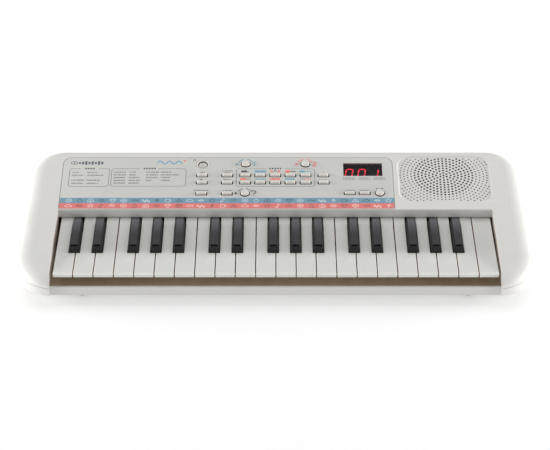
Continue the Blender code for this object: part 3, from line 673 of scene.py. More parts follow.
def make_bottom_case(mat, inner_shade_mat):
    top = SPLIT_Z - GAP
    case = add_object("bottom_case_shell", lower_form(0.0, top, SEAM))
    hollow_out(case, lower_form(WALL, top + 2 * WALL), over_keys(WALL, RAIL_Y + WALL))
    carve(case, box(over_keys(0.0, RAIL_Y), -WALL, CUT_HIGH))
    carve(case, box(over_keys(0.0, RAIL_Y + 2 * WALL), RAIL_Z, CUT_HIGH))
    round_edges(case, 0.0011, 4, lambda p: p.y < RAIL_Y + WALL + 0.0002
                and abs(p.z - RAIL_Z) < 0.0001 and abs(p.x) < BED_HALF - 0.001, 35)
    round_edges(case, 0.0005, 3, lambda p: abs(p.y - RAIL_Y) < 0.0001 and p.z < 0.0100
                and abs(p.x) < BED_HALF - 0.001, 25)
    ribs, posts, wells = bmesh.new(), bmesh.new(), bmesh.new()
    floor_top = FOOT_HEIGHT + WALL
    rooted = floor_top - WALL / 2
    for y in RIB_Y:
        box((-RIB_HALF, y, RIB_HALF, y + RIB_WIDTH), rooted, CONTACT_Z - GAP, ribs)
    carve(case, ribs, "UNION")
    x0, y0, x1, y1 = BAY
    carve(case, box((x0 - WALL, y0 - WALL, x1 + WALL, y1 + WALL), rooted, BAY_ROOF + WALL), "UNION")
    carve(case, box(BAY, -WALL, BAY_ROOF))
    for x, y in SCREWS:
        turned([(0.0056, rooted), (0.0052, CONTACT_Z - GAP)], x, y, 24, posts)
        turned([(SCREW_WELL + 0.0004, 0.0), (SCREW_WELL + 0.0004, FOOT_HEIGHT),
                (SCREW_WELL, FOOT_HEIGHT + 0.0005), (SCREW_WELL, WELL_TOP)], x, y, 28, wells)
    carve(case, posts, "UNION")
    for x, y in FEET.values():
        drill(x, y, FOOT_RADIUS + 0.0004, 0.0, FOOT_HEIGHT + 0.0008, wells)
    carve(case, wells)
    piece(case, "case", mat, ["bottom_case"], 30, weighted=True)
    flatten(case.data, Vector((0.0, 0.0, -1.0)))
    # The floor faces inside the tray, seen under the key fronts, take a warm tint painted in as the
    # warm shade of that recess.
    second_finish(case, inner_shade_mat, lambda normal, at: normal.z > 0.3
                  and at.z < SPLIT_Z - 0.0020 and at.y > RAIL_Y + WALL / 2)


def make_battery_cover(mat):
    """The hinged door: a rounded plate with a finger dip and grip ribs."""
    x0, y0, x1, y1 = BAY
    play, base, edge = COVER_PLAY, FOOT_HEIGHT, 0.0004
    door = add_object("battery_door", stepped(
        (x0 + play, y0 + play, x1 - play, y1 - play), 0.0010,
        [(-edge, base), (-edge * 0.3, base + edge * 0.3), (0.0, base + edge),
         (0.0, base + COVER_THICK)]))
    middle = (x0 + x1) / 2
    dip = [(0.0, base - 0.0010), (0.0, base), (-0.0004, base + 0.0005), (-0.0012, base + 0.0009)]
    carve(door, stepped((middle - 0.0090, y0 + 0.0030, middle + 0.0090, y0 + 0.0100), 0.003, dip))
    ribs = bmesh.new()
    for i in range(5):
        y = y0 + 0.0128 + i * 0.0016
        stepped((middle - 0.0080, y, middle + 0.0080, y + 0.0008), 0.0003,
                [(0.0, base - 0.0001), (0.0, base + 0.0004)], 3, ribs)
    carve(door, ribs)
    piece(door, "battery_cover", mat, ["battery_cover"])
    flatten(door.data, Vector((0.0, 0.0, -1.0)))


def make_screws(mat):
    """Cross-head screws at the bottom of their wells."""
    head = [(0.0008, 0.0056), (0.0022, 0.0057), (0.0029, 0.0061), (0.0031, 0.0066),
            (0.0031, WELL_TOP - 0.0001)]
    for number, (x, y) in enumerate(SCREWS, 1):
        screw = add_object(f"case_screw_{number}", turned(head, x, y, 24))
        for arms in ((0.0019, 0.00035), (0.00035, 0.0019)):
            carve(screw, box(around(x, y, *arms), 0.0050, 0.0066))
        piece(screw, "case", mat)


def make_feet(mat):
    """Rubber pads with a rounded rim and a shallow dish underneath."""
    r = FOOT_RADIUS
    profile = [(0.0022, 0.0004), (0.0034, 0.0), (r - 0.0008, 0.0), (r - 0.00025, 0.00025),
               (r, 0.0008), (r, FOOT_HEIGHT - GAP)]
    for place, (x, y) in FEET.items():
        piece(add_object("rubber_foot_" + place, turned(profile, x, y, 40)), "case",
              mat, ["foot_" + place])


def make_sockets(dark, metal):
    """The rims of the headphone and power sockets in the rear wall."""
    outer = JACK_RADIUS - 0.0002
    for name, inner, mat in (("headphone_socket", 0.0018, metal), ("power_socket", 0.0026, dark)):
        profile = [(inner, -0.0030), (outer, -0.0030), (outer, -0.0004), (outer - 0.0003, -0.0002),
                   (inner + 0.0004, -0.0002), (inner, -0.0006)]
        ring = in_rear_wall(turned_ring(profile, JACKS[name], 0.0, 36))
        piece(add_object(name, ring), "case", mat)
    pin = turned([(0.0008, -0.0040), (0.0008, -0.0010), (0.0005, -0.0006)],
                 JACKS["power_socket"], 0.0, 16)
    piece(add_object("power_socket_pin", in_rear_wall(pin)), "case", metal)


# ---- speaker grille ----
def inside_grille(x, t, margin):
    """Whether a point lies in the grille's floor, at least margin from its edge."""
    x0, t0, x1, t1 = GRILLE
    corner = GRILLE_CORNER
    dx = max(x0 + corner - x, x - (x1 - corner), 0.0)
    dt = max(t0 + corner - t, t - (t1 - corner), 0.0)
    return hypot(dx, dt) < corner - margin and x0 + margin < x < x1 - margin \
        and t0 + margin < t < t1 - margin


def make_grille(mat, hole_shade_mat):
    """A plate with rings of small round holes. Past the speaker they are blind. The holes' walls and
    the backing under the blind ones are painted brown as the shade inside the holes.
    """
    holes = [circle(SPEAKER_X, SPEAKER_T, HOLE_RADIUS, 16)]
    for ring in range(1, ALL_RINGS + 1):
        radius = HOLE_RADIUS if ring < OPEN_RINGS else DIMPLE_RADIUS
        for i in range(6 * ring):
            angle = pi / 2 + tau * i / (6 * ring)
            x = SPEAKER_X + ring * RING_STEP * cos(angle)
            t = SPEAKER_T + ring * RING_STEP * sin(angle)
            if inside_grille(x, t, radius - 0.0002):
                holes.append(circle(x, t, radius, 16))
    top = -GRILLE_DEPTH
    low = top - GRILLE_PLATE
    rim = rounded(GRILLE, GRILLE_CORNER, 0.0007)
    grille = plate("speaker_grille", [rim] + holes, low, top, 0.00010)
    piece(grille, "case", mat)
    into_deck = DECK.inverted()

    def in_hole(_, at):
        x, t, depth = into_deck @ at
        return low + 0.00005 < depth < top - 0.00012 and inside_grille(x, t, 0.0008)

    second_finish(grille, hole_shade_mat, in_hole)
    mouth = circle(SPEAKER_X, SPEAKER_T, (OPEN_RINGS + 0.5) * RING_STEP, 72)
    flat = 0.00005
    backing = plate("grille_backing", [rim, mouth], low - 0.0006, low - flat, flat)
    piece(backing, "case", hole_shade_mat)


# ---- control panel ----
def make_panel(mat):
    rim = rounded(PANEL, PANEL_CORNERS, -0.0002)
    notch_x, size = PANEL_NOTCH
    top = PANEL[3] - 0.0002
    place = next(i for i, (x, t) in enumerate(rim) if t > top - 0.00001 and x < notch_x)
    rim[place:place] = [(notch_x + size, top), (notch_x + size * 0.3, top - size),
                        (notch_x - size * 0.3, top - size), (notch_x - size, top)]
    openings = []
    for name, (x, t) in ROUND_BUTTONS.items():
        openings.append(circle(x, t, POWER_DISH if name == "power_button" else ROUND_HOLE, 40))
    for x, t in bar_spots():
        openings.append(rounded(around(x, t, BAR_HOLE[0] / 2, BAR_HOLE[1] / 2), 0.0007, segments=4))
    openings.append(rounded(WINDOW, 0.0004, segments=3))
    panel = plate("panel_plate", [rim] + openings, GAP - POCKET_DEPTH, 0.0, 0.00014)
    piece(panel, "case", mat, ["control_panel"])


def shade_below(obj, depth, mat):
    """Give the faces deeper in the deck than `depth` another finish."""
    into_deck = DECK.inverted()
    second_finish(obj, mat, lambda _, at: (into_deck @ at).z < depth)


def make_power_bezel(mat, shade_mat):
    """The dished ring round the sunken power button: a shallow cone above a steep well."""
    profile = [(0.0051, -0.0026), (0.0052, -0.0008), (0.0055, -0.0004), (0.0063, 0.0),
               (0.0066, 0.0001), (0.00675, 0.0001), (0.0069, -0.0002), (0.0069, -0.00145),
               (0.00535, -0.00145), (0.00535, -0.0026)]
    ring = turned_ring(profile, *ROUND_BUTTONS["power_button"], 56)
    bezel = deck_piece("power_bezel", ring, "case", mat)
    # The well's wall deeper than 0.7 mm is painted dark as the shade inside the well.
    shade_below(bezel, -0.0007, shade_mat)


def round_cap(x, t, radius, top, crown, dish):
    """A turned cap: flange, rounded shoulder and a top that dips in the middle by `dish`."""
    low = -WALL - GAP
    flange = ROUND_HOLE + FLANGE_REACH
    inner = radius - crown
    profile = [(flange, low - BUTTON_FLANGE), (flange, low), (radius, low + 0.0001)]
    profile += [(inner + px, top - crown + pt) for px, pt in arc(0.0, 0.0, crown, 0, 90, 6)]
    profile += [(inner * share, top - dish * (1 - share * share)) for share in (0.8, 0.6, 0.4, 0.2)]
    return turned(profile, x, t, 48)


def make_round_buttons(mat, shade_mat):
    for name, place in ROUND_BUTTONS.items():
        cap, shade = round_cap(*place, ROUND_RADIUS, BUTTON_RISE, 0.0013, 0.0002), -0.0006
        if name == "power_button":
            cap, shade = round_cap(*place, POWER_RADIUS, POWER_TOP, 0.0004, 0.0007), -0.0028
        stem = name.replace("_button", "_cap")
        button = deck_piece(stem, cap, name, mat, [name])
        # The caps' lower parts, down in the holes, are painted dark as the shade in the gap round
        # each cap.
        shade_below(button, shade, shade_mat)


def bar_cap(x, t):
    """A bar with sloping ends and softened edges on its own stem."""
    half_x, half_t = BAR_SIZE[0] / 2, BAR_SIZE[1] / 2
    steps = ((0.0, 0.0, -WALL - GAP - BUTTON_FLANGE * 0.4), (0.0, 0.0, -0.0004), (0.0, 0.0, 0.0004),
             (0.0007, 0.0001, 0.0013), (0.0010, 0.0003, 0.0016),
             (0.0013, 0.0006, BUTTON_RISE - 0.00005), (0.0017, 0.0010, BUTTON_RISE))
    return loft([[(*p, height) for p in rounded(around(x, t, half_x - in_x, half_t - in_t), 0.0004,
                                                segments=3)] for in_x, in_t, height in steps])


def make_bar_buttons(mat, shade_mat):
    """Each gang is a runner plate under the panel, with a separate cap for each button."""
    reach_x, reach_t = BAR_HOLE[0] / 2 + FLANGE_REACH, BAR_HOLE[1] / 2 + FLANGE_REACH
    low = -WALL - GAP
    for name, spots in BUTTON_SETS.items():
        xs, ts = zip(*spots)
        runner = stepped((min(xs) - reach_x, min(ts) - reach_t, max(xs) + reach_x, max(ts) + reach_t),
                         0.0015, [(0.0, low - BUTTON_FLANGE), (0.0, low - 0.0002), (-0.0002, low)])
        stem = name.replace("_button_set", "")
        # The runners are painted dark all over, as the shade seen through the gaps round the caps.
        deck_piece(stem + "_runner", runner, name, shade_mat,
              [name])
        for number, (x, t) in enumerate(spots, 1):
            cap = deck_piece(f"{stem}_bar_{number}", bar_cap(x, t + CAP_SHIFT), name,
                             mat)
            # Each cap's sides below the panel are painted dark as the shade in the gaps round it.
            shade_below(cap, -0.0002, shade_mat)


# ---- display ----
SEGMENTS = {  # ends of each segment on a digit 1 wide and 2 high, centred on its middle bar
    "a": ((-1, 2), (1, 2)), "b": ((1, 2), (1, 0)), "c": ((1, 0), (1, -2)), "d": ((-1, -2), (1, -2)),
    "e": ((-1, 0), (-1, -2)), "f": ((-1, 2), (-1, 0)), "g": ((-1, 0), (1, 0)),
}
DIGITS = {"0": "abcdef", "1": "bc"}
DIGIT_HALF, DIGIT_SLANT, SEGMENT_WIDTH, SEGMENT_GAP = 0.0034, 0.14, 0.0015, 0.0003
DIGIT_PLACES, DIGIT_DROP = (0.0060, 0.0189, 0.0324), 0.0011  # from the window's left and middle


def segment(bm, start, end, x, t):
    """One bar with pointed ends, leaning with the digit."""
    a, b = Vector(start) * DIGIT_HALF, Vector(end) * DIGIT_HALF
    along = (b - a).normalized()
    side = Vector((-along.y, along.x)) * SEGMENT_WIDTH / 2
    a, b = a + along * SEGMENT_GAP, b - along * SEGMENT_GAP
    tip = along * SEGMENT_WIDTH / 2
    outline = [a, a + tip + side, b - tip + side, b, b - tip - side, a + tip - side]
    verts = [bm.verts.new((x + p.x + p.y * DIGIT_SLANT, t + p.y, 0.0)) for p in outline]
    bm.faces.new(verts)


def make_display(lens_mat, dark_mat, lit_mat, unlit_mat):
    x0, t0, x1, t1 = WINDOW
    lens = stepped((x0 + GAP, t0 + GAP, x1 - GAP, t1 - GAP), 0.0004,
                   [(0.0, -0.0018), (0.0, -0.00025), (-0.00015, -0.0001)], 3)
    deck_piece("window_lens", lens, "case", lens_mat,
          ["display_window"], 20)
    floor = -DIGIT_DEPTH
    tub = stepped((x0 - 0.0010, t0 - 0.0010, x1 + 0.0010, t1 + 0.0010), 0.0012,
                  [(0.0, floor - 0.0005), (0.0, -0.0026), (-0.0009, -0.0026), (-0.0009, floor)], 3)
    deck_piece("display_tub", tub, "case", dark_mat)
    lit, unlit = bmesh.new(), bmesh.new()
    middle = (t0 + t1) / 2 - DIGIT_DROP
    for figure, place in zip("001", DIGIT_PLACES):
        for name, (start, end) in SEGMENTS.items():
            segment(lit if name in DIGITS[figure] else unlit, start, end, x0 + place, middle)
    thicken(lit, floor + 0.00002, 0.00012)
    thicken(unlit, floor + 0.00002, 0.00006)
    deck_piece("display_digits", lit, "case", lit_mat)
    deck_piece("display_dark_segments", unlit, "case", unlit_mat)


# ---- printing on the panel, in millimetres ----
BLUE_BAND, CORAL_BAND = (9.7, 17.7), (1.8, 9.7)
PICTOGRAMS, FIRST_PICTOGRAM, PICTOGRAM_STEP = 30, -209.1, 11.16


def mm(*values):
    return [1000 * value for value in values]


def thicken(bm, low, depth):
    """Turn flat faces at height 0 into thin solids that stand on z = low."""
    extrude(bm, list(bm.faces), depth)
    ops.translate(bm, verts=bm.verts, vec=(0, 0, low))


def patch(bm, points):
    bm.faces.new([bm.verts.new((x, t, 0.0)) for x, t in points])


def block(bm, x0, t0, x1, t1):
    patch(bm, [(x0, t0), (x1, t0), (x1, t1), (x0, t1)])


def stroke(bm, points, width, closed=False):
    """A flat ribbon of even width along a path."""
    path = [Vector(p) for p in points]
    count = len(path)
    pairs = []
    for i, point in enumerate(path):
        before = (point - path[i - 1]).normalized() if closed or i else None
        after = (path[(i + 1) % count] - point).normalized() if closed or i < count - 1 else None
        along = ((before or after) + (after or before)).normalized()
        side = Vector((-along.y, along.x))
        lead = after or before
        miter = 1 / max(side.dot(Vector((-lead.y, lead.x))), 0.5)
        reach = side * width / 2 * miter
        pairs.append([bm.verts.new((*(point + reach), 0.0)), bm.verts.new((*(point - reach), 0.0))])
    for i in range(count if closed else count - 1):
        a, b = pairs[i], pairs[(i + 1) % count]
        bm.faces.new((a[0], a[1], b[1], b[0]))


def level(bm, x, t, start, end, width):
    """A level ribbon, from start to end past x."""
    stroke(bm, [(x + start, t), (x + end, t)], width)


def star(points, outer, inner):
    return [((outer if i % 2 == 0 else inner) * sin(pi * i / points),
             (outer if i % 2 == 0 else inner) * cos(pi * i / points))
            for i in range(2 * points)]


# simple shapes on a field 2 wide and 2 high; each stroke is (points, closed)
GLYPHS = [
    [(arc(0, 0, 0.85, 0, 330, 11), True), (arc(0, 0, 0.3, 0, 315, 7), True)],
    [(star(5, 1.0, 0.45), True)],
    [([(-0.9, -0.7), (0.9, -0.7), (0.0, 0.9)], True), ([(-0.35, -0.25), (0.35, -0.25)], False)],
    [([(-1.1 + 0.22 * i, 0.45 * sin(1.25 * i)) for i in range(11)], False),
     ([(-1.1 + 0.22 * i, 0.45 * sin(1.25 * i) - 0.5) for i in range(11)], False)],
    [([(-0.9, 0.3), (-0.5, 0.8), (0.5, 0.8), (0.9, 0.3), (0.0, -0.9)], True),
     ([(-0.9, 0.3), (0.9, 0.3)], False)],
    [(arc(0, -0.3, 0.6, -210, 30, 10) + [(0.0, 1.0)], True)],
    [(arc(-0.4, -0.6, 0.35, 0, 320, 8), True), ([(-0.05, -0.6), (-0.05, 0.9), (0.6, 0.5)], False)],
    [(arc(-0.5, -0.1, 0.45, 90, 270, 6) + arc(0.6, -0.2, 0.35, -90, 90, 6)
      + arc(0.0, 0.15, 0.55, 20, 150, 6), True)],
    [([(0.3, 1.0), (-0.5, 0.1), (0.1, 0.1), (-0.3, -1.0), (0.6, 0.2), (0.0, 0.2)], True)],
    [(arc(0, 0, 0.85, 0, 330, 11), True), ([(-0.85, 0), (0.85, 0)], False),
     ([(0, -0.85), (0, 0.85)], False)],
    [([(-0.8, -0.8), (0.8, -0.8), (0.8, 0.1), (0.0, 0.9), (-0.8, 0.1)], True),
     ([(-0.2, -0.8), (-0.2, -0.1), (0.2, -0.1), (0.2, -0.8)], False)],
    [([(0.1 * i * cos(1.0 * i), 0.1 * i * sin(1.0 * i)) for i in range(1, 11)], False)],
    [(arc(0.0, -0.75, 1.15, 40, 140, 8) + arc(0.0, 0.75, 1.15, 220, 320, 8), True),
     ([(-0.9, 0), (0.9, 0)], False)],
    [([(-0.7, 0.6), (0.5, 0.6), (0.5, -0.7), (-0.7, -0.7)], True),
     (arc(0.5, 0.0, 0.4, -90, 90, 6), False)],
    [([(-0.9, 0), (-0.3, 0.5), (0.9, -0.4), (0.9, 0.4), (-0.3, -0.5)], True)],
    [(arc(0, 0, 0.4, 0, 315, 8), True)] + [([(0.6 * cos(a), 0.6 * sin(a)),
                                             (1.0 * cos(a), 1.0 * sin(a))], False)
                                            for a in [tau * i / 8 for i in range(8)]],
]


def glyph(bm, index, x, t, wide, high, width):
    for points, closed in GLYPHS[index % len(GLYPHS)]:
        stroke(bm, [(x + px * wide / 2, t + py * high / 2) for px, py in points], width, closed)


def words(bm, x, t, length, high=1.8, mean=1.1, gap=0.4):
    """A caption's stand-in: a row of small blocks with now and then a wider gap."""
    at = x
    while at < x + length:
        wide = mean * random.uniform(0.7, 1.2)
        low, top = t - high / 2 * random.uniform(0.7, 1.0), t + high / 2 * random.uniform(0.7, 1.0)
        block(bm, at, low, at + wide, top)
        at += wide + gap * random.choice((1, 1, 1, 2.5))


def titled_box(bm, x0, t0, x1, t1, title, radius=2.6, width=0.55):
    """A rounded frame, open at the middle of its upper edge for a title."""
    outline = rounded((x0, t0, x1, t1), radius, segments=5)
    middle = (x0 + x1) / 2
    split = next(i for i, (x, t) in enumerate(outline) if t > t1 - 0.01 and x < middle)
    ends = [(middle - title / 2, t1)], [(middle + title / 2, t1)]
    stroke(bm, ends[0] + outline[split:] + outline[:split] + ends[1], width)


def triangle(bm, x, t, size):
    patch(bm, [(x - size / 2, t - size * 0.7), (x + size / 2, t), (x - size / 2, t + size * 0.7)])


def arc_marks(bm, x, t, radius):
    """Two groups of three short blocks set along an arc over a round button."""
    for degrees in (146, 130, 114, 72, 54, 36):
        angle = radians(degrees)
        out = Vector((cos(angle), sin(angle)))
        side = Vector((-out.y, out.x)) * 0.65
        centre = Vector((x, t)) + out * radius
        near, far = centre - out * 0.8, centre + out * 0.9
        patch(bm, [near - side, near + side, far + side, far - side])


def numeral(bm, figure, x, t, high, width):
    half = high / 2
    if figure == "1":
        stroke(bm, [(x - half * 0.35, t + half * 0.6), (x, t + half), (x, t - half)], width)
    if figure == "2":
        bowl = arc(x, t + half * 0.45, half * 0.5, 160, -40, 9)
        stroke(bm, bowl + [(x - half * 0.55, t - half), (x + half * 0.6, t - half)], width)
    if figure == "?":
        bowl = arc(x, t + half * 0.45, half * 0.60, 165, -50, 10)
        stroke(bm, bowl + [(x + half * 0.06, t - half * 0.22), (x, t - half * 0.50)], width)
        stroke(bm, [(x, t - half * 0.78), (x, t - half * 1.06)], width * 1.15)


def slab(bm, x, t, wide, high, teeth):
    """A flat body with a row of notches below it."""
    block(bm, x - wide / 2, t, x + wide / 2, t + high / 2)
    for i in range(teeth):
        at = x - wide / 2 + wide * (i + 0.15) / teeth
        block(bm, at, t - high / 2, at + wide * 0.7 / teeth, t)


def bowl_and_neck(bowl, neck, x, t, wide, high):
    """A round body at the left and a long thin neck."""
    patch(bowl, arc(x - wide * 0.25, t, wide * 0.25, 0, 337.5, 15, high / wide * 2))
    level(neck, x, t, 0.0, wide * 0.5, high * 0.28)


def print_panel(inks):
    """Everything printed on the panel. inks holds one mesh for each colour and layer."""
    left, right = PANEL[0] * 1000 + 0.3, PANEL[2] * 1000 - 0.3
    for name, (low, high), corners in (("blue", BLUE_BAND, 0.1), ("coral", CORAL_BAND, (2.0, 0.1))):
        patch(inks[name + "_band"], rounded((left, low, right, high), corners, segments=5))
    for i in range(PICTOGRAMS):
        shade = "_dark" if i % 12 in (1, 3, 6, 8, 10) else "_pale"
        x = FIRST_PICTOGRAM + i * PICTOGRAM_STEP
        glyph(inks["blue" + shade], i * 5, x, sum(BLUE_BAND) / 2, 7.2, 6.0, 0.66)
        glyph(inks["coral" + shade], i * 5 + 7, x, sum(CORAL_BAND) / 2, 7.2, 6.0, 0.66)
    grey, dark, blue, coral = (inks[k] for k in ("grey", "dark", "blue", "coral"))
    titled_box(grey, -211.4, 35.1, -170.6, 62.7, 18.6)
    titled_box(grey, -168.2, 35.5, -91.6, 62.6, 18.6)
    titled_box(grey, -39.9, 35.2, 40.4, 62.4, 18.0)
    for middle, count in ((-191.0, 4), (-129.4, 5), (0.0, 5)):
        for i in range(count):
            block(dark, *around(middle + (i - (count - 1) / 2) * 2.7, 63.0, 0.8, 1.1))
    for t, first, second in ((56.9, 5.6, 9.0), (52.4, 12.0, 16.5),
                             (44.8, 12.0, 13.2), (39.9, 12.0, 11.5)):
        words(grey, -208.6, t, first)
        words(grey, -193.0, t, second)
    for row, t in enumerate((57.3, 53.0, 48.8, 44.4, 40.3)):
        words(grey, -165.5, t, 11.8)
        words(grey, -150.0, t, (6.2, 6.2, 10.0, 11.5, 9.8)[row])
        if row < 4:
            words(grey, -132.5, t, (11.8, 11.8, 11.8, 4.8)[row])
            words(grey, -117.3, t, (10.5, 18.0, 8.8, 9.2)[row])
    print_emblems(inks)
    print_button_marks(grey, dark, blue, coral)
    print_voice_pictures(grey, dark, blue, coral)


def print_emblems(inks):
    """Plain ornaments at the upper left: a row of level bars, and a wave with a dot."""
    left, middle = -203.0, 71.6
    ring = [(x * 1.25, t) for x, t in circle(0.0, 0.0, 2.6, 20)]
    stroke(inks["slate"], [(-207.6 + x, middle + t) for x, t in ring], 0.6, True)
    patch(inks["slate"], circle(-207.6, middle, 1.1, 12))
    for i in range(8):
        at = left + 3.3 * i
        reach = (1.4, 2.2, 2.9, 2.0, 2.6, 1.7, 2.9, 2.1)[i]
        patch(inks["slate"], rounded((at, middle - reach, at + 2.2, middle + reach), 0.6, segments=3))
    wave = [(-121.2 + 1.1 * i, 72.2 + 2.4 * sin(0.72 * i)) for i in range(24)]
    stroke(inks["blue"], wave, 1.3)
    patch(inks["coral"], circle(-93.6, 75.0, 1.1, 12))


def print_button_marks(grey, dark, blue, coral):
    x, t = mm(*ROUND_BUTTONS["power_button"])
    stroke(grey, arc(x - 8.8, t + 6.6, 1.4, 130, 410, 12), 0.5)
    stroke(grey, [(x - 8.8, t + 6.6), (x - 8.8, t + 8.4)], 0.5)
    for name, ink, arc_ink, (drop, size), figure, (far, up, high, width), reach in (
            ("voice_one_button", blue, blue, (0.2, 2.9), "1", (9.1, 0.2, 6.2, 1.2), 7.6),
            ("voice_two_button", coral, coral, (0.2, 2.9), "2", (9.4, 0.2, 6.2, 1.2), 7.6),
            ("quiz_button", dark, grey, (-0.2, 3.1), "?", (9.1, 0.4, 7.0, 1.1), 7.4)):
        x, t = mm(*ROUND_BUTTONS[name])
        triangle(ink, x - 8.7, t - drop, size)
        numeral(ink, figure, x + far, t + up, high, width)
        arc_marks(arc_ink, x, t, reach)
    x, t = mm(*ROUND_BUTTONS["start_button"])
    triangle(dark, x - 2.6, t + 7.2, 1.7)
    stroke(dark, [(x - 0.4, t + 6.4), (x + 0.4, t + 8.0)], 0.3)
    block(dark, x + 1.8, t + 6.4, x + 3.4, t + 8.0)
    row_1, row_2, row_3 = mm(ROW_1, ROW_2, ROW_3)
    left, right = mm(*LEFT_COLUMNS)
    words(dark, left - 1.6, row_1 + 5.0, 3.8)
    words(dark, left - 1.8, row_2 + 5.0, 2.4)
    words(grey, left - 8.0, row_3 + 5.2, 15.5)
    words(grey, right - 5.2, row_1 + 7.2, 10.4)
    words(grey, right - 2.8, row_1 + 5.0, 5.4, 1.2)
    words(grey, right - 4.1, row_2 + 4.8, 8.0)
    words(grey, right - 4.2, row_3 + 5.0, 8.4)
    last = VOICE_COLUMNS[-1] * 1000
    words(dark, last - 0.6, row_1 + 4.8, 1.2, 1.2)
    level(grey, last, row_2 + 5.2, -5.8, 5.8, 0.35)
    for x in mm(*MODE_COLUMNS):
        words(grey, x - 4.5, row_3 + 5.0, 8.6)
    for x in (75.7, 91.2, 106.5):
        stroke(grey, rounded((x - 6.2, 45.4, x + 6.2, 48.8), 1.5, segments=5), 0.45, True)
        words(grey, x - 4.2, 47.1, 8.0, 1.2)


def print_voice_pictures(grey, dark, blue, coral):
    """Small pictures of instruments in general over the two rows of voice buttons."""
    top, low = ROW_1 * 1000 + 6.3, ROW_2 * 1000 + 5.7
    first, second, third, fourth, fifth, _ = mm(*VOICE_COLUMNS)
    patch(dark, [(first - 4.2, top - 1.4), (first + 1.4, top - 1.4),
                 (first + 4.2, top - 0.4), (first + 1.0, top + 0.4),
                 (first + 1.6, top + 2.0), (first - 4.2, top + 1.2)])
    slab(blue, second, top, 11.8, 3.2, 9)
    for side in (-1, 1):
        stroke(coral, [(third + side * 5.0, top + 1.4), (third + side * 2.2, top - 1.0)], 1.9)
    level(dark, third, top + 1.0, -1.4, 1.4, 1.3)
    bowl_and_neck(coral, dark, fourth, top, 11.2, 4.0)
    bowl_and_neck(blue, blue, fifth, top, 12.6, 2.8)
    block(coral, first - 5.0, low - 1.3, first + 1.0, low + 1.4)
    level(grey, first, low, 1.2, 5.4, 1.2)
    level(blue, second, low, -5.8, 5.6, 1.3)
    stroke(coral, [(third - 5.0 + 1.1 * i, low + 0.9 * (-1) ** i) for i in range(10)], 1.3)
    for i in range(5):
        at = fourth - 5.2 + i * 1.9
        block(blue, at, low - 1.3, at + 1.4, low + 1.3)
    level(grey, fifth, low, -5.6, -1.0, 0.9)
    level(coral, fifth, low, -0.8, 5.2, 1.0)


INKS = {  # colour of each ink, as display values, and its layer
    "blue_band": ((102, 144, 166), 0), "coral_band": ((213, 111, 104), 0),
    "blue_pale": ((186, 207, 214), 1), "blue_dark": ((62, 92, 110), 1),
    "coral_pale": ((244, 196, 190), 1), "coral_dark": ((150, 78, 76), 1),
    "grey": ((112, 112, 110), 0), "dark": ((58, 58, 66), 0), "slate": ((72, 84, 98), 0),
    "blue": ((84, 152, 182), 0), "coral": ((234, 108, 98), 0),
}
INK_FILM = 0.00004


def make_printing():
    inks = {name: bmesh.new() for name in INKS}
    print_panel(inks)
    for name, bm in inks.items():
        colour, layer = INKS[name]
        ops.scale(bm, vec=(0.001, 0.001, 0.001), verts=bm.verts)
        thicken(bm, 0.000004 + layer * INK_FILM, INK_FILM)
        mat = finish("ink_" + name, srgb(*colour), 0.42, mottle=0.04, grain=2600.0, depth=0.00001)
        deck_piece("print_" + name, bm, "case", mat, (), 40)


# ---- keys ----
def white_left(index):
    return (index - WHITE_COUNT / 2) * KEY_PITCH + BED_SHIFT


def key_name(index, sharp=False):
    return "key_{}{}{}".format(LETTERS[index % 7], "_sharp" if sharp else "", index // 7 + 1)


def black_centre(index):
    return white_left(index + 1) + BLACK_SHIFTS[LETTERS[index % 7]]


def has_black(index):
    return 0 <= index < WHITE_COUNT - 1 and LETTERS[index % 7] in BLACK_SHIFTS


def add_plunger(key, x):
    """Join the post that presses the contact."""
    post = around(x, PLUNGER_Y, PLUNGER_SIDE / 2, PLUNGER_SIDE / 2)
    carve(key, box(post, PLUNGER_BOTTOM, KEY_BASE + 0.0010), "UNION")


def scribe(bm, y):
    """A fine line across a key's top."""
    for offset in (-0.00022, 0.0, 0.00022):
        ops.bisect_plane(bm, geom=bm.verts[:] + bm.edges[:] + bm.faces[:], dist=1e-6,
                               plane_co=(0, y + offset, 0), plane_no=(0, 1, 0))
    for vert in bm.verts:
        if abs(vert.co.y - y) < 0.00001 and vert.co.z > KEY_TOP - 0.00001:
            vert.co.z -= 0.00013


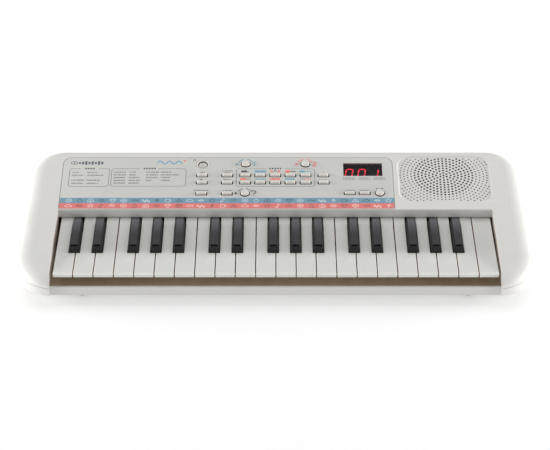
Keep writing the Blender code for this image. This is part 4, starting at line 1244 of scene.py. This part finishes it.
def make_white_key(index, mat, flank_shade_mat):
    """A capped key: rounded top plate with a fine step above its skirt."""
    left, right = white_left(index) + KEY_GAP / 2, white_left(index + 1) - KEY_GAP / 2
    reach, shoulder = BLACK_BASE / 2 + BLACK_NOTCH, BLACK_FRONT - BLACK_NOTCH
    rear_left, rear_right = left, right
    left_notch, right_notch = [], []
    if has_black(index - 1):
        rear_left = black_centre(index - 1) + reach
        left_notch = [(rear_left, shoulder), (left, shoulder)]
    if has_black(index):
        rear_right = black_centre(index) - reach
        right_notch = [(right, shoulder), (rear_right, shoulder)]
    outline = [(left, KEY_FRONT), (right, KEY_FRONT), *right_notch, (rear_right, KEY_TAIL),
               (rear_left, KEY_TAIL), *left_notch]
    plate_low = KEY_TOP - KEY_PLATE
    bm = bmesh.new()
    face = bm.faces.new([bm.verts.new((x, y, plate_low)) for x, y in outline])
    extrude(bm, [face], KEY_TOP - plate_low)
    ops.recalc_face_normals(bm, faces=bm.faces)
    soften(bm, [e for e in bm.edges if max(v.co.z for v in e.verts) > plate_low + 0.0001
                and e.is_convex], KEY_ROUND, 4)
    under = [f for f in bm.faces if f.normal.z < -0.9 and f.calc_center_median().z < plate_low + 1e-5]
    ops.inset_region(bm, faces=under, thickness=KEY_STEP, use_even_offset=True)
    extrude(bm, under, KEY_BASE - plate_low)
    ops.delete(bm, geom=under, context="FACES_ONLY")
    scribe(bm, KEY_FRONT + KEY_SCRIBE)
    name = key_name(index)
    key = add_object(name.replace("key", "white_key", 1), bm)
    add_plunger(key, (rear_left + rear_right) / 2)
    piece(key, name, mat, [name], 28, weighted=True)
    # The flanks in the narrow gaps between keys take a warm tint painted in so that the gaps read as
    # brown shade.
    second_finish(key, flank_shade_mat, lambda normal, at: abs(normal.x) > 0.9 and at.z < KEY_TOP - 0.0008)


def make_black_key(index, mat, gloss_mat):
    """A raised key: leaning polished sides, raked front, satin crest with a slot at its front."""
    x = black_centre(index)
    low = BLACK_BASE / 2, BLACK_FRONT
    rings = []
    for z, (half, y) in ((KEY_BASE, low), (KEY_TOP, low),
                         (BLACK_TOP, (BLACK_CREST / 2, BLACK_FRONT + BLACK_RAKE))):
        rings.append([(x - half, y, z), (x + half, y, z), (x + half, BLACK_REAR, z),
                      (x - half, BLACK_REAR, z)])
    bm = loft(rings)
    ops.recalc_face_normals(bm, faces=bm.faces)
    soften(bm, [e for e in bm.edges if min(v.co.z for v in e.verts) > BLACK_TOP - 1e-5], 0.0005, 4,
           0.55)
    soften(bm, [e for e in bm.edges if len(e.link_faces) == 2 and e.calc_face_angle(0.0) > 0.6
                and abs((e.verts[0].co - e.verts[1].co).z) > 0.001], 0.0006, 3)
    name = key_name(index, sharp=True)
    key = add_object(name.replace("key", "black_key", 1), bm)
    tail = x - BLACK_TAIL, BLACK_REAR - 0.0018, x + BLACK_TAIL, KEY_TAIL
    carve(key, box(tail, KEY_BASE + 0.0005, KEY_TOP - 0.0005), "UNION")
    add_plunger(key, x)
    half_slot, y0, y1, depth = BLACK_SLOT
    carve(key, box((x - half_slot, y0, x + half_slot, y1), BLACK_TOP - depth, BLACK_TOP + 0.001))
    piece(key, name, mat, [name], 28, weighted=True)

    def polished(normal, at):
        in_slot = abs(at.x - x) < half_slot + 0.0001 and y0 < at.y < y1 and at.z < BLACK_TOP - 0.00005
        return in_slot or normal.z < 0.8 and normal.y > -0.8

    second_finish(key, gloss_mat, polished)


# ---- carried-over parts ----
def dress_inner_parts():
    """New finishes for the inner parts, whose CAD shapes stay."""
    green = board_finish()
    looks = {
        "main_board": green, "contact_board": green,
        "contact_rubber": finish("silicone", (0.30, 0.31, 0.31), 0.75, mottle=0.05, grain=700.0),
        "key_chassis": finish("chassis_plastic", (0.035, 0.035, 0.037), 0.55, grain=1200.0),
        "speaker_basket": finish("pressed_steel", (0.05, 0.05, 0.055), 0.35, metallic=0.8,
                                 grain=900.0, depth=0.00002),
        "speaker_cone": cone_finish(),
    }
    for node, mat in looks.items():
        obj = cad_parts[node]
        if not obj.material_slots:
            obj.data.materials.append(None)
        for place in obj.material_slots:
            place.link = "OBJECT"
            place.material = mat


# ---- stage ----
CAMERA_TILT = radians(33.10)
CAMERA_PLACE = (-0.00027, -1.6753, 1.1193)
CAMERA_LENS = 130.0


def make_floor():
    bm = bmesh.new()
    ops.create_grid(bm, x_segments=1, y_segments=1, size=6.0)
    floor = add_object("studio_floor", bm)
    mat = finish("floor_paper", (0.70, 0.70, 0.70), 0.9, mottle=0.003, grain=120.0,
                 depth=0.00001, edge_wear_and_highlight=0.0, specular=0.1)
    connect(mat.node_tree, shader_of(mat), {"Emission Color": (1.0, 1.0, 1.0),
                                            "Emission Strength": 0.34})
    floor.data.materials.append(mat)


def stand(name, data, place):
    holder = bpy.data.objects.new(name, data)
    holder.location = place
    bpy.context.scene.collection.objects.link(holder)
    return holder


def area_light(name, place, target, size, power):
    light = bpy.data.lights.new(name, "AREA")
    light.shape = "RECTANGLE"
    light.size, light.size_y = size
    light.energy = power
    holder = stand(name, light, place)
    holder.rotation_euler = (Vector(target) - Vector(place)).to_track_quat("-Z", "Y").to_euler()


def make_stage():
    make_floor()
    area_light("overhead_box", (0.0, 0.80, 1.5), (0.0, 0.0, 0.0), (2.2, 1.2), 12.0)
    for name, x in (("left_box", -1.5), ("right_box", 1.5)):
        area_light(name, (x, 0.0, 0.23), (0.0, 0.0, 0.02), (1.4, 0.44), 24.0)
    world = bpy.data.worlds.new("studio")
    world.use_nodes = True
    connect(world.node_tree, world.node_tree.nodes["Background"], {"Color": (1.0, 1.0, 1.0),
                                                                   "Strength": 0.44})
    scene = bpy.context.scene
    scene.world = world
    scene.view_settings.view_transform = "Standard"
    camera = bpy.data.cameras.new("photo_camera")
    camera.lens = CAMERA_LENS
    camera.sensor_width = 36.0
    scene.camera = stand("photo_camera", camera, CAMERA_PLACE)
    scene.camera.rotation_euler = (pi / 2 - CAMERA_TILT, 0.0, 0.0)


# ---- the whole object ----
case_plastic = finish("case_plastic", srgb(212, 211, 207), 0.46, mottle=0.010, edge_wear_and_highlight=0.02)
# A warm tint painted in as the warm shade in the space under the keys.
inner_painted_shade = finish("inner_painted_shade", srgb(244, 218, 190), 0.6, mottle=0.03)
# The cheek walls' warm grey-brown is painted shade.
make_top_case(case_plastic, finish("cheek_wall_painted_shade", srgb(208, 200, 190), 0.55, mottle=0.02))
make_bottom_case(case_plastic, inner_painted_shade)
make_battery_cover(case_plastic)
make_screws(finish("zinc_screw", (0.42, 0.42, 0.43), 0.34, metallic=1.0, grain=600.0))
make_feet(finish("foot_rubber", (0.035, 0.035, 0.036), 0.8, mottle=0.12, depth=0.00006))
make_sockets(finish("socket_plastic", (0.02, 0.02, 0.021), 0.4),
             finish("socket_nickel", (0.55, 0.54, 0.52), 0.3, metallic=1.0))
# The brown of the grille's hole walls and backing is painted shade.
make_grille(case_plastic, finish("grille_hole_painted_shade", srgb(132, 108, 92), 0.6, mottle=0.03))
make_panel(finish("panel_film", srgb(199, 199, 194), 0.48, mottle=0.010, grain=2400.0,
                  depth=0.000015))
make_printing()
cap_plastic = finish("button_plastic", srgb(211, 208, 201), 0.30, mottle=0.012, rough_spread=0.03,
                     depth=0.000002)
# Dark brown painted in as the shade in the gaps and wells round the buttons.
shade_plastic = finish("button_gap_painted_shade", srgb(70, 50, 40), 0.6, mottle=0.05)
make_power_bezel(cap_plastic, shade_plastic)
make_round_buttons(cap_plastic, shade_plastic)
make_bar_buttons(cap_plastic, shade_plastic)
make_display(lens_finish(), finish("display_black", (0.012, 0.012, 0.013), 0.6),
             segment_finish(), finish("unlit_segment", (0.035, 0.012, 0.014), 0.5))
# The high edge setting paints a highlight along the white keys' rounded edges.
white_plastic = finish("white_key_plastic", srgb(216, 216, 211), 0.30, mottle=0.006,
                       rough_spread=0.006, grain=900.0, depth=0.0000003, edge_wear_and_highlight=0.40)
# A warm tint painted in as the brown shade of the gaps between white keys.
flank_painted_shade = finish("key_flank_plastic", srgb(236, 208, 182), 0.5, mottle=0.02)
black_satin = black_key_finish()
black_gloss = finish("black_key_gloss", (0.002, 0.002, 0.0022), 0.42, mottle=0.10,
                     rough_spread=0.03, depth=0.000001, edge_wear_and_highlight=0.1, specular=0.06)
for key_index in range(WHITE_COUNT):
    make_white_key(key_index, white_plastic, flank_painted_shade)
    if has_black(key_index):
        make_black_key(key_index, black_satin, black_gloss)
dress_inner_parts()
make_stage()

bpy.context.view_layer.update()
